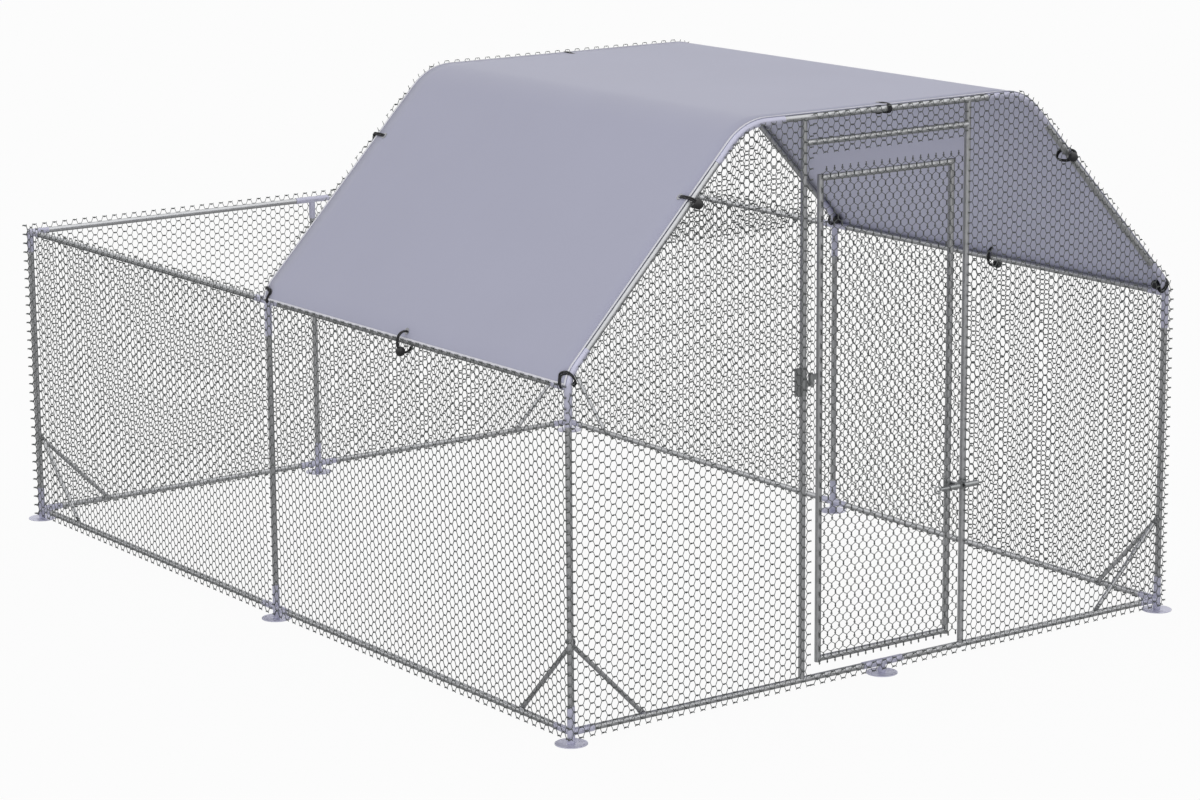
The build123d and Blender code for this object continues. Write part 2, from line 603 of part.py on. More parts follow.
def latch_mount(x, edge_x, barrel_start, barrel_length, barrel_radius, bore_radius):
    """Sleeve on an upright, with a bracket forward to a level barrel."""
    low, high = LATCH_Z - LATCH_SLEEVE_LENGTH / 2, LATCH_Z + LATCH_SLEEVE_LENGTH / 2
    sleeve = rod((x, FRONT_Y, low), (x, FRONT_Y, high), SOCKET_RADIUS)
    bracket = Box(LATCH_BRACKET_WIDTH, LATCH_STAND_OFF, LATCH_BRACKET_HEIGHT)
    bracket = Pos(edge_x, (FRONT_Y + LATCH_Y) / 2, LATCH_Z) * bracket
    start = Vector(barrel_start, LATCH_Y, LATCH_Z)
    end = start + Vector(barrel_length, 0, 0)
    reach = Vector(CUT_REACH, 0, 0)
    barrel = rod(start, end, barrel_radius)
    bore = rod(start - reach, end + reach, bore_radius)
    upright = rod((x, FRONT_Y, low), (x, FRONT_Y, high), BORE_RADIUS)
    return sleeve.fuse(bracket, barrel).cut(bore, upright)


LATCH_BRACKET_X = STILE_X + SOCKET_RADIUS + LATCH_BRACKET_WIDTH / 2 - SOCKET_WALL * 2
BARREL_END_X = LATCH_BRACKET_X + LATCH_BRACKET_WIDTH / 2 + BOLT_NOSE
BARREL_START_X = BARREL_END_X - LATCH_BARREL_LENGTH
KEEPER_BRACKET_X = JAMB_X - SOCKET_RADIUS - LATCH_BRACKET_WIDTH / 2 + SOCKET_WALL * 2
KEEPER_START_X = JAMB_X - KEEPER_SETBACK


def latch_barrel():
    return latch_mount(STILE_X, LATCH_BRACKET_X, BARREL_START_X, LATCH_BARREL_LENGTH,
                       LATCH_BARREL_DIAMETER / 2, BOLT_DIAMETER / 2 + BOLT_RUNNING_FIT)


def latch_keeper():
    return latch_mount(JAMB_X, KEEPER_BRACKET_X, KEEPER_START_X, KEEPER_LENGTH,
                       KEEPER_DIAMETER / 2, BOLT_DIAMETER / 2 + KEEPER_FIT)


def latch_bolt():
    """Round bolt, drawn back, with a pull ring at its tail."""
    tip = BARREL_END_X + BOLT_NOSE
    tail = BARREL_START_X - LATCH_TRAVEL - PULL_RING_WIRE / 2 - BOLT_NOSE
    shank = rod((tail, LATCH_Y, LATCH_Z), (tip, LATCH_Y, LATCH_Z), BOLT_DIAMETER / 2)
    shank = chamfer(shank.edges().group_by(Axis.X)[-1], BOLT_TIP_CHAMFER)
    pull = Rot(X=90) * Torus(PULL_RING_RADIUS, PULL_RING_WIRE / 2)
    return shank + Pos(tail - PULL_RING_RADIUS, LATCH_Y, LATCH_Z) * pull


# All pieces by node

def frame_nodes():
    elbow_tops = EAVE_BEND_Z
    corner_tops = EAVE_RAIL_Z - SOCKET_STOP - SOCKET_FIT
    front_base = level_rail((0, FRONT_Y, BASE_RAIL_Z), (HALF_WIDTH, FRONT_Y, BASE_RAIL_Z))
    rear_base = level_rail((0, REAR_Y, BASE_RAIL_Z), (HALF_WIDTH, REAR_Y, BASE_RAIL_Z))
    side_base = [side_rail(y, BASE_RAIL_Z) for y in (FRONT_Y, 0)]
    rear_top = level_rail((0, REAR_Y, EAVE_RAIL_Z), (HALF_WIDTH, REAR_Y, EAVE_RAIL_Z))
    return {
        "post_front_left": [post(-HALF_WIDTH, FRONT_Y, elbow_tops)],
        "post_front_right": [post(HALF_WIDTH, FRONT_Y, elbow_tops)],
        "post_middle_left": [post(-HALF_WIDTH, 0, elbow_tops)],
        "post_middle_right": [post(HALF_WIDTH, 0, elbow_tops)],
        "post_rear_left": [post(-HALF_WIDTH, REAR_Y, corner_tops)],
        "post_rear_right": [post(HALF_WIDTH, REAR_Y, corner_tops)],
        "post_rear_centre": [post(0, REAR_Y, corner_tops)],
        "base_rails_front": mirrored_pair(front_base),
        "base_rails_rear": mirrored_pair(rear_base),
        "base_rails_right": side_base,
        "base_rails_left": [mirror(rail, about=LEFT_RIGHT) for rail in side_base],
        "eave_rails": mirrored_pair(side_rail(FRONT_Y, EAVE_RAIL_Z)),
        "run_rails_side": mirrored_pair(side_rail(0, EAVE_RAIL_Z)),
        "run_rails_rear": mirrored_pair(rear_top),
        "rafters_front": mirrored_pair(rafter(FRONT_Y)),
        "rafters_middle": mirrored_pair(rafter(0)),
        "ridge_bar_front": [ridge_bar(FRONT_Y)],
        "ridge_bar_middle": [ridge_bar(0)],
        "ridge_purlins": mirrored_pair(purlin()),
        "door_posts": mirrored_pair(door_post()),
        "door_header": [notched_bar(JAMB_X, DOORWAY_HEADER_Z)],
    }


def connector_nodes():
    back, front, left, right = (0, 1, 0), (0, -1, 0), (-1, 0, 0), (1, 0, 0)
    down = (0, 0, -1)
    stem, to_front, to_left, to_right = [(way, RAIL_SOCKET) for way in (down, front, left, right)]
    run_corner = socketed((HALF_WIDTH, REAR_Y, EAVE_RAIL_Z), [stem, to_front, to_left])
    run_tee = socketed((0, REAR_Y, EAVE_RAIL_Z), [stem, to_left, to_right])
    front_braces = [brace(HALF_WIDTH, FRONT_Y, -1, 0), brace(HALF_WIDTH, FRONT_Y, 0, 1)]
    rear_braces = [brace(HALF_WIDTH, REAR_Y, -1, 0), brace(HALF_WIDTH, REAR_Y, 0, -1)]
    return {
        "feet_front_corners": mirrored_pair(foot(HALF_WIDTH, FRONT_Y, (left, back))),
        "feet_rear_corners": mirrored_pair(foot(HALF_WIDTH, REAR_Y, (left, front))),
        "feet_sides": mirrored_pair(foot(HALF_WIDTH, 0, (front, back))),
        "foot_front_centre": [foot(0, FRONT_Y, (left, right), post=False)],
        "foot_rear_centre": [foot(0, REAR_Y, (left, right))],
        "eave_elbows_front": mirrored_pair(eave_elbow(FRONT_Y, (1,))),
        "eave_elbows_middle": mirrored_pair(eave_elbow(0, (1, -1))),
        "ridge_elbows_front": mirrored_pair(ridge_elbow(FRONT_Y, 1)),
        "ridge_elbows_middle": mirrored_pair(ridge_elbow(0, -1)),
        "run_corners": mirrored_pair(run_corner),
        "run_tee": [run_tee],
        "braces_front": front_braces + [mirror(piece, about=LEFT_RIGHT) for piece in front_braces],
        "braces_rear": rear_braces + [mirror(piece, about=LEFT_RIGHT) for piece in rear_braces],
    }


def soft_and_net_nodes():
    rafter_x, rafter_z = slope_point(TIE_RAFTER_SHARE)
    elbow_x, elbow_z = arch_point(EAVE_TURN / 2)
    open_loop = (TIE_FRONT_BALL_ANGLE, TIE_FRONT_REACH, TIE_LOOP_RADIUS, TIE_LOOP_DROP)
    tight_loop = (TIE_TUCKED_BALL_ANGLE, TIE_TUCKED_REACH, TIE_TIGHT_RADIUS, TIE_TIGHT_DROP)
    right_ties = [
        front_tie(rafter_x, rafter_z, EAVE_TURN, EYELET_INSET, *open_loop),
        front_tie(elbow_x, elbow_z, EAVE_TURN / 2, CORNER_EYELET_INSET, *tight_loop),
    ]
    ridge_tie = front_tie(0, RIDGE_Z, 90, EYELET_INSET, *tight_loop)
    rail_tie = eave_tie()

    def every(kind):
        sides = [piece for tie in right_ties for piece in mirrored_pair(tie[kind])]
        return both_ends(sides + [ridge_tie[kind]]) + mirrored_pair(rail_tie[kind])

    cords, balls, eyelets, holes = [every(kind) for kind in range(4)]
    passes = [tie[4] for tie in right_ties]
    gable_passes = [mirror(piece, about=BAY_MIDDLE) for side in passes for piece in mirrored_pair(side)]
    gable_passes.append(mirror(ridge_tie[4], about=BAY_MIDDLE))
    front_end = FRONT_Y - NET_OFFSET + NET_SEAT
    eave_top = COVER_EDGE_Z - NET_JOIN
    run_top = EAVE_RAIL_Z + NET_OVERHANG
    front_right = front_right_net().cut(*passes)
    right_front = side_net(front_end, -NET_JOIN, eave_top).cut(rail_tie[4])
    right_rear = side_net(COVER_END_LAP + NET_JOIN, -front_end, run_top)
    return {
        "net_front_right": [front_right],
        "net_front_left": [mirror(front_right, about=LEFT_RIGHT)],
        "net_over_door": [over_door_net().cut(ridge_tie[4])],
        "net_middle_gable": [middle_gable_net().cut(*gable_passes)],
        "net_right_front": [right_front],
        "net_left_front": [mirror(right_front, about=LEFT_RIGHT)],
        "net_right_rear": [right_rear],
        "net_left_rear": [mirror(right_rear, about=LEFT_RIGHT)],
        "net_rear": [rear_net()],
        "cover": [cover_sheet().cut(*holes)],
        "eyelets": eyelets,
        "tie_cords": cords,
        "tie_balls": balls,
    }


def door_nodes():
    low, high = DOOR_BOTTOM_Z - TUBE_RADIUS, DOOR_TOP_Z + TUBE_RADIUS
    stile = tube((STILE_X, FRONT_Y, low), (STILE_X, FRONT_Y, high))
    return {
        "door_stiles": mirrored_pair(stile),
        "door_rails": [notched_bar(STILE_X, DOOR_BOTTOM_Z), notched_bar(STILE_X, DOOR_TOP_Z)],
        "door_net": [door_net()],
        "hinge_post_leaf": [hinge_post_leaf()],
        "hinge_door_leaf": [hinge_door_leaf()],
        "hinge_pin": [hinge_pin()],
        "latch_barrel": [latch_barrel()],
        "latch_keeper": [latch_keeper()],
        "latch_bolt": [latch_bolt()],
    }


os.makedirs("parts", exist_ok=True)
nodes = {**frame_nodes(), **connector_nodes(), **soft_and_net_nodes(), **door_nodes()}
for name, pieces in nodes.items():
    shape = pieces[0] if len(pieces) == 1 else Compound(children=pieces)
    export_step(shape, f"parts/{name}.step")
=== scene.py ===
import json
import math

import bmesh
import bpy
from mathutils import Matrix, Vector


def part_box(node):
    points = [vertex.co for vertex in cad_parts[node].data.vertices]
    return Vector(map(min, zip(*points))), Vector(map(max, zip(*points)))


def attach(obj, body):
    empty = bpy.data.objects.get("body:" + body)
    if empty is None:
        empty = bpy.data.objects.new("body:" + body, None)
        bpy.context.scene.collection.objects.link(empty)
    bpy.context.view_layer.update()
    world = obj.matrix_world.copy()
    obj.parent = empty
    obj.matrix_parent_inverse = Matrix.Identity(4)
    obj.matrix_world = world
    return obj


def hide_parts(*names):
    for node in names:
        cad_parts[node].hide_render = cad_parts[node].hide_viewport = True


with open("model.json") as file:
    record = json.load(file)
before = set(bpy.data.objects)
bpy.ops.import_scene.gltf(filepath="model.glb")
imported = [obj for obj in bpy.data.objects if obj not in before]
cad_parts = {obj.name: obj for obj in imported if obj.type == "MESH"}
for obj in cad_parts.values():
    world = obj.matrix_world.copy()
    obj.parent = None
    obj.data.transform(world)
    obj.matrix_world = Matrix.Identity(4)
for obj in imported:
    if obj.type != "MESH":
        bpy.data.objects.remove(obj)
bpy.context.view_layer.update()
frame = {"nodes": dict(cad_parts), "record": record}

bl_info = {
    "name": "Walk-in Hen House",
    "version": (1, 0, 0),
    "blender": (4, 5, 0),
    "location": "3D View > Sidebar > Hen House",
    "description": "Dresses a walk-in hen house with wire net, cover, ties and finishes",
    "category": "Object",
}

# Places of the frame, in metres. X runs along the front, Y to the back, Z up.

MILLIMETRE = 0.001
X, Y, Z = Vector((1, 0, 0)), Vector((0, 1, 0)), Vector((0, 0, 1))


def middle(node):
    """Centre of a node's box."""
    low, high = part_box(node)
    return (low + high) / 2


POST_LOW, POST_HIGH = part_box("post_front_right")
HALF_WIDTH = middle("post_front_right").x
FRONT_Y = middle("post_front_right").y
REAR_Y = middle("post_rear_right").y
TUBE_RADIUS = (POST_HIGH.x - POST_LOW.x) / 2
SOCKET_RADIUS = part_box("run_corners")[1].x - HALF_WIDTH
BASE_RAIL_Z = middle("base_rails_front").z
EAVE_RAIL_Z = middle("eave_rails").z
EAVE_BEND_Z = POST_HIGH.z
RIDGE_Z = middle("ridge_bar_front").z
RIDGE_BEND_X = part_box("ridge_bar_front")[1].x
JAMB_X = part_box("door_posts")[1].x - TUBE_RADIUS
STILE_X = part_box("door_stiles")[1].x - TUBE_RADIUS
DOOR_LOW, DOOR_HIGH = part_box("door_net")
HEADER_LOW_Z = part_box("net_over_door")[0].z
COVER_LOW, COVER_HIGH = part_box("cover")
LATCH_LOW, LATCH_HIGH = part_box("latch_barrel")
HINGE_LOW, HINGE_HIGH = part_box("hinge_post_leaf")
BRACE_HIGH_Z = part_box("braces_front")[1].z


# Sizes and colours that a user would change

def linear(hex_colour):
    """Linear red, green, blue and alpha of an sRGB hex colour."""
    parts = []
    for place in (1, 3, 5):
        part = int(hex_colour[place:place + 2], 16) / 255
        parts.append(part / 12.92 if part <= 0.04045 else ((part + 0.055) / 1.055) ** 2.4)
    return (*parts, 1.0)


def length(name, description, default):
    """A size in metres."""
    return bpy.props.FloatProperty(
        name=name, description=description, default=default, unit="LENGTH", precision=4)


def position(name, description, default):
    """A place in metres."""
    return bpy.props.FloatVectorProperty(
        name=name, description=description, default=default, subtype="XYZ", unit="LENGTH", precision=4)


def level(name, description, default, unit="NONE"):
    """A number, plain or in a unit."""
    return bpy.props.FloatProperty(name=name, description=description, default=default, unit=unit)


def fraction(name, description, default):
    """A share from 0 to 1."""
    return bpy.props.FloatProperty(
        name=name, description=description, default=default, subtype="FACTOR", min=0, max=1)


def colour(name, description, default):
    """A colour given as an sRGB hex value."""
    return bpy.props.FloatVectorProperty(
        name=name, description=description, default=linear(default), size=4, subtype="COLOR", min=0, max=1)


class HenHouseArch(bpy.types.PropertyGroup):
    """Bends of the two arches, at the middle of the tube."""
    eave_bend: length("Eave bend", "Radius of the bend from post to rafter", 0.110)
    ridge_bend: length("Ridge bend", "Radius of the bend from rafter to ridge", 0.205)


class HenHouseNet(bpy.types.PropertyGroup):
    """Hexagonal wire net, with its twists across the wall. Past a tube means past its middle."""
    pitch: length("Pitch", "Height of one mesh", 0.0367)
    column: length("Column", "Distance from one column of meshes to the next", 0.0241)
    front_share: fraction(
        "Front share", "Width of a mesh across the house, as a share of one along its sides", 0.945)
    twist: length("Twist", "Length of the twisted part", 0.0162)
    wire: length("Wire", "Diameter of one wire, drawn thicker than a real one so that it shows", 0.0032)
    zinc: length("Zinc", "Diameter of one wire with the zinc that has run into a twist", 0.0043)
    seat: length("Seat", "Gap between the wire and the sockets", 0.0001)
    post_overhang: length("Past the posts", "How far a net runs past a corner post", 0.025)
    rail_overhang: length("Past the rails", "How far a net of the run stands above its rail", 0.026)
    front_arch_overhang: length("Past the front arch", "How far the right front net runs past it", 0.022)
    left_arch_overhang: length("Past the left rafter", "How far the left front net runs past it", 0.0)
    ridge_overhang: length("Past the ridge", "How far the front nets run past the ridge bar", 0.010)
    middle_arch_overhang: length("Past the middle arch", "How far the gable net runs past it", 0.022)
    jamb_overhang: length("Past the left jamb", "How far the left front net runs past it", 0.026)
    header_overhang: length("Below the header", "How far the strip over the door runs below its solid", 0.010)
    door_overhang: length("Above the door", "How far the door's net runs above its solid", 0.016)
    stile_overhang: length("Past the free stile", "How far the door's net runs past it", 0.034)


class HenHouseCover(bpy.types.PropertyGroup):
    """Fabric cover over the front bay."""
    thickness: length("Thickness", "Thickness of the coated cloth", 0.0010)
    binding: length("Binding", "Width of the tape that binds the edges", 0.008)
    binding_lift: length("Binding lift", "How far the tape stands proud", 0.0012)
    sag: length("Sag", "How far the cloth sinks between the tubes", 0.006)


class HenHouseTies(bpy.types.PropertyGroup):
    """Ball ties that hold the cover."""
    strand: length("Strand", "Diameter of one strand of elastic", 0.0064)
    eyelet_inset: length("Eyelet inset", "Distance of an eyelet from the arch's middle", 0.044)
    front_loop: length("Front loop", "Radius of the loops on the rafters at their ends", 0.028)
    front_drop: length("Front drop", "How far those loops' middle lies inside the tube's middle", 0.002)
    front_reach: length("Front reach", "How far those loops reach past the tube to their balls", 0.006)
    ridge_loop: length("Ridge loop", "Radius of the loops on the ridge", 0.0155)
    eave_loop: length("Eave loop", "Radius of the loops round the eave rails", 0.030)
    eave_reach: length("Eave reach", "How far those loops reach below the rail's middle", 0.006)
    eave_seat: length("Eave seat", "Gap between such a loop and the rail", 0.0003)
    rafter_share: fraction("Rafter share", "Place of the tie on the rafter, from shoulder to ridge", 0.69)


class HenHouseBolts(bpy.types.PropertyGroup):
    """Small bolts through the flat ends of the braces and the ear of the hinge."""
    head: length("Head", "Width of a head across its corners", 0.011)
    height: length("Height", "Height of a head", 0.004)
    brace_tab: length("Brace tab", "Width of a brace's flat end", 0.020)
    brace_sheet: length("Brace sheet", "Thickness of a brace's flat end with its seat", 0.0033)
    ear: length("Ear", "Length of the ear of the hinge", 0.020)
    ear_spread: length("Ear spread", "Distance of a bolt from the end of the ear", 0.022)
    ear_sheet: length("Ear sheet", "Half the thickness of the ear", 0.003)


class HenHouseColours(bpy.types.PropertyGroup):
    """Base colours of the finishes."""
    tube: colour("Tube", "Galvanised tube", "#b6b7b9")
    connector: colour("Connector", "Powder-coated connectors", "#c2c2d6")
    wire: colour("Wire", "Galvanised wire", "#6a6d6c")
    cloth: colour("Cloth", "Coated cloth", "#b2b3c8")
    # The binding's pale colour is partly the tape's own and partly a painted highlight: the bright line of
    # light along the cover's front and lower edges.
    binding: colour("Binding", "Woven edge tape", "#ececf4")
    eyelet: colour("Eyelet", "Nickel plating", "#8a8b8e")
    elastic: colour("Elastic", "Woven elastic", "#17171a")
    ball: colour("Ball", "Moulded ball", "#141416")
    zinc: colour("Zinc", "Zinc-plated fittings", "#9a9c9d")
    floor: colour("Floor", "Studio floor", "#dcdcdc")


class HenHouseStage(bpy.types.PropertyGroup):
    """Camera and light."""
    lens: level("Lens", "Focal length on a 36 mm sensor", 106.36, "CAMERA")
    roll: bpy.props.FloatProperty(
        name="Roll", description="Turn of the camera about its view",
        default=math.radians(-0.43), subtype="ANGLE")
    place: position("Place", "Where the camera stands", (-7.7055, -10.9178, 3.5849))
    aim: position("Aim", "What the camera looks at", (0.0, -0.2084, 0.6805))
    sky: level("Sky", "Strength of the even light", 0.57)
    horizon: level("Horizon", "Level that metal mirrors from the sides and from the floor", 0.46)
    zenith: level("Zenith", "Level that metal mirrors from above", 1.6)
    rise: fraction("Rise", "Height at which that level is reached, as a share of straight up", 0.25)
    floor_light: level("Floor light", "Level at which the floor lights the object", 0.75)
    floor_white: fraction("Floor white", "Share of the floor that is plain white to the camera", 0.95)
    floor_size: length("Floor size", "Half the width of the floor", 60.0)
    sight: length("Sight", "How far the camera sees", 240.0)
    lamp_size: length("Lamp size", "Width of each lamp", 4.0)
    key: level("Key", "Power of the lamp above", 32.0, "POWER")
    key_place: position("Key place", "Where the lamp above hangs", (-0.8, -1.6, 7.0))
    fill: level("Fill", "Power of the low lamp in front", 150.0, "POWER")
    fill_place: position("Fill place", "Where the low lamp stands", (-6.0, -7.5, 1.3))


GROUPS = {
    "hen_house_arch": HenHouseArch,
    "hen_house_net": HenHouseNet,
    "hen_house_cover": HenHouseCover,
    "hen_house_ties": HenHouseTies,
    "hen_house_bolts": HenHouseBolts,
    "hen_house_colours": HenHouseColours,
    "hen_house_stage": HenHouseStage,
}


# Materials

def plug(tree, node, inputs):
    """Sets a node's inputs by identifier, to values or to sockets that are linked in."""
    sockets = {socket.identifier: socket for socket in node.inputs}
    for name, value in inputs.items():
        if isinstance(value, bpy.types.NodeSocket):
            tree.links.new(value, sockets[name])
        else:
            sockets[name].default_value = value


def add_node(tree, kind, inputs=None, **settings):
    """Adds a node with its settings and inputs. Gives its outputs by identifier."""
    node = tree.nodes.new(kind)
    for name, value in settings.items():
        setattr(node, name, value)
    plug(tree, node, inputs or {})
    return {socket.identifier: socket for socket in node.outputs}


def new_material(name):
    """A material with its node tree, its shader and its object coordinates."""
    material = bpy.data.materials.new(name)
    material.use_nodes = True
    tree = material.node_tree
    place = add_node(tree, "ShaderNodeTexCoord")["Object"]
    return material, tree, tree.nodes["Principled BSDF"], place


def finish(make, base):
    """A finish, made the first time that it is asked for."""
    return bpy.data.materials.get(make.__name__) or make(base)


def scaled(base, strength):
    """A colour made darker or lighter."""
    return tuple(min(part * strength, 1.0) for part in base[:3]) + (1.0,)


def scale_for(width):
    """Scale of a texture whose features are so many millimetres wide."""
    return 1 / (width * MILLIMETRE)


def galvanised_tube(base):
    """Hot-dip galvanised steel tube: dull grey zinc with soft spangle and broad blotches."""
    material, tree, shader, place = new_material("galvanised_tube")
    spangle = add_node(tree, "ShaderNodeTexVoronoi", {"Vector": place, "Scale": scale_for(9)})
    blotch = add_node(tree, "ShaderNodeTexNoise", {"Vector": place, "Scale": scale_for(60), "Detail": 3.0})
    tone = add_node(tree, "ShaderNodeMix", {
        "Factor_Float": 0.6,
        "A_Float": spangle["Color"],
        "B_Float": blotch["Fac"],
    })
    tint = add_node(tree, "ShaderNodeMix", {
        "Factor_Float": tone["Result_Float"],
        "A_Color": scaled(base, 0.82),
        "B_Color": scaled(base, 1.16),
    }, data_type="RGBA")
    rough = add_node(tree, "ShaderNodeMapRange", {"Value": spangle["Color"], "To Min": 0.34, "To Max": 0.48})
    bump = add_node(tree, "ShaderNodeBump", {
        "Height": blotch["Fac"],
        "Strength": 0.2,
        "Distance": 0.4 * MILLIMETRE,
    })
    plug(tree, shader, {
        "Base Color": tint["Result_Color"],
        "Specular Tint": scaled(base, 0.6),
        "Metallic": 0.9,
        "Roughness": rough["Result"],
        "Normal": bump["Normal"],
    })
    return material


def powder_coated_steel(base):
    """Pressed steel under a pale blue-grey powder coat: satin, with fine orange peel and scuffed tone."""
    material, tree, shader, place = new_material("powder_coated_steel")
    peel = add_node(tree, "ShaderNodeTexNoise", {"Vector": place, "Scale": scale_for(4), "Detail": 3.0})
    scuff = add_node(tree, "ShaderNodeTexNoise", {"Vector": place, "Scale": scale_for(38), "Detail": 5.0})
    tint = add_node(tree, "ShaderNodeMix", {
        "Factor_Float": scuff["Fac"],
        "A_Color": scaled(base, 0.86),
        "B_Color": scaled(base, 1.12),
    }, data_type="RGBA")
    rough = add_node(tree, "ShaderNodeMapRange", {"Value": scuff["Fac"], "To Min": 0.32, "To Max": 0.48})
    bump = add_node(tree, "ShaderNodeBump", {
        "Height": peel["Fac"],
        "Strength": 0.25,
        "Distance": 0.3 * MILLIMETRE,
    })
    plug(tree, shader, {
        "Base Color": tint["Result_Color"],
        "Metallic": 0.25,
        "Roughness": rough["Result"],
        "Normal": bump["Normal"],
    })
    return material


def galvanised_wire(base):
    """Drawn and galvanised wire: dull grey, darker and lighter in patches where the zinc has run."""
    material, tree, shader, place = new_material("galvanised_wire")
    run = add_node(tree, "ShaderNodeTexNoise", {"Vector": place, "Scale": scale_for(14), "Detail": 3.0})
    tint = add_node(tree, "ShaderNodeMix", {
        "Factor_Float": run["Fac"],
        "A_Color": scaled(base, 0.72),
        "B_Color": scaled(base, 1.2),
    }, data_type="RGBA")
    plug(tree, shader, {"Base Color": tint["Result_Color"], "Metallic": 0.9, "Roughness": 0.5})
    return material


def coated_polyester(base):
    """Woven polyester with a smooth grey coating: even, slightly silky, with soft broad unevenness."""
    material, tree, shader, place = new_material("coated_polyester")
    broad = add_node(tree, "ShaderNodeTexNoise", {"Vector": place, "Scale": scale_for(420), "Detail": 2.0})
    # The weave is far finer than a pixel, so it is drawn at 6 mm to show as a faint grain.
    grain = add_node(tree, "ShaderNodeTexNoise", {"Vector": place, "Scale": scale_for(6), "Detail": 2.0})
    tone = add_node(tree, "ShaderNodeMix", {
        "Factor_Float": 0.3,
        "A_Float": broad["Fac"],
        "B_Float": grain["Fac"],
    })
    tint = add_node(tree, "ShaderNodeMix", {
        "Factor_Float": tone["Result_Float"],
        "A_Color": scaled(base, 0.95),
        "B_Color": scaled(base, 1.04),
    }, data_type="RGBA")
    bump = add_node(tree, "ShaderNodeBump", {
        "Height": tone["Result_Float"],
        "Strength": 0.25,
        "Distance": 4 * MILLIMETRE,
    })
    plug(tree, shader, {
        "Base Color": tint["Result_Color"],
        "Specular IOR Level": 0.4,
        "Roughness": 0.62,
        "Sheen Weight": 0.15,
        "Normal": bump["Normal"],
    })
    return material


def tape_and_painted_highlight(base):
    """Narrow woven polyester tape: pale and matt, with small ribs; its pale colour is also a painted
    highlight along the cover's edges.
    """
    material, tree, shader, place = new_material("tape_and_painted_highlight")
    # The ribs are finer than a pixel, so they are drawn at 3 mm.
    rib = add_node(tree, "ShaderNodeTexNoise", {"Vector": place, "Scale": scale_for(3), "Detail": 2.0})
    tint = add_node(tree, "ShaderNodeMix", {
        "Factor_Float": rib["Fac"],
        "A_Color": scaled(base, 0.92),
        "B_Color": scaled(base, 1.04),
    }, data_type="RGBA")
    bump = add_node(tree, "ShaderNodeBump", {
        "Height": rib["Fac"],
        "Strength": 0.3,
        "Distance": 0.3 * MILLIMETRE,
    })
    plug(tree, shader, {"Base Color": tint["Result_Color"], "Roughness": 0.7, "Normal": bump["Normal"]})
    return material


def nickel_plated_brass(base):
    """Nickel-plated brass: a soft grey shine, with fine wear."""
    material, tree, shader, place = new_material("nickel_plated_brass")
    wear = add_node(tree, "ShaderNodeTexNoise", {"Vector": place, "Scale": scale_for(5), "Detail": 3.0})
    tint = add_node(tree, "ShaderNodeMix", {
        "Factor_Float": wear["Fac"],
        "A_Color": scaled(base, 0.9),
        "B_Color": scaled(base, 1.04),
    }, data_type="RGBA")
    rough = add_node(tree, "ShaderNodeMapRange", {"Value": wear["Fac"], "To Min": 0.24, "To Max": 0.4})
    plug(tree, shader, {"Base Color": tint["Result_Color"], "Metallic": 0.8, "Roughness": rough["Result"]})
    return material


def woven_elastic(base):
    """Rubber cord in a black woven sleeve: matt, with the braid's small diamonds."""
    material, tree, shader, place = new_material("woven_elastic")
    braid = add_node(tree, "ShaderNodeTexVoronoi", {
        "Vector": place,
        "Scale": scale_for(1.6),
    }, distance="MANHATTAN")
    tint = add_node(tree, "ShaderNodeMix", {
        "Factor_Float": braid["Distance"],
        "A_Color": scaled(base, 1.6),
        "B_Color": scaled(base, 0.6),
    }, data_type="RGBA")
    bump = add_node(tree, "ShaderNodeBump", {
        "Height": braid["Distance"],
        "Strength": 0.6,
        "Distance": 0.4 * MILLIMETRE,
    })
    plug(tree, shader, {"Base Color": tint["Result_Color"], "Roughness": 0.75, "Normal": bump["Normal"]})
    return material


def moulded_nylon(base):
    """Injection-moulded black nylon: satin, with a fine spark-eroded grain."""
    material, tree, shader, place = new_material("moulded_nylon")
    grain = add_node(tree, "ShaderNodeTexNoise", {"Vector": place, "Scale": scale_for(1.2), "Detail": 3.0})
    tint = add_node(tree, "ShaderNodeMix", {
        "Factor_Float": grain["Fac"],
        "A_Color": scaled(base, 0.85),
        "B_Color": scaled(base, 1.2),
    }, data_type="RGBA")
    bump = add_node(tree, "ShaderNodeBump", {
        "Height": grain["Fac"],
        "Strength": 0.15,
        "Distance": 0.1 * MILLIMETRE,
    })
    plug(tree, shader, {"Base Color": tint["Result_Color"], "Roughness": 0.55, "Normal": bump["Normal"]})
    return material


def zinc_plated_steel(base):
    """Zinc-plated pressed steel: grey, a little darker than the tube, with rubbed patches."""
    material, tree, shader, place = new_material("zinc_plated_steel")
    rub = add_node(tree, "ShaderNodeTexNoise", {"Vector": place, "Scale": scale_for(12), "Detail": 4.0})
    tint = add_node(tree, "ShaderNodeMix", {
        "Factor_Float": rub["Fac"],
        "A_Color": scaled(base, 0.8),
        "B_Color": scaled(base, 1.15),
    }, data_type="RGBA")
    rough = add_node(tree, "ShaderNodeMapRange", {"Value": rub["Fac"], "To Min": 0.3, "To Max": 0.5})
    plug(tree, shader, {"Base Color": tint["Result_Color"], "Metallic": 0.9, "Roughness": rough["Result"]})
    return material


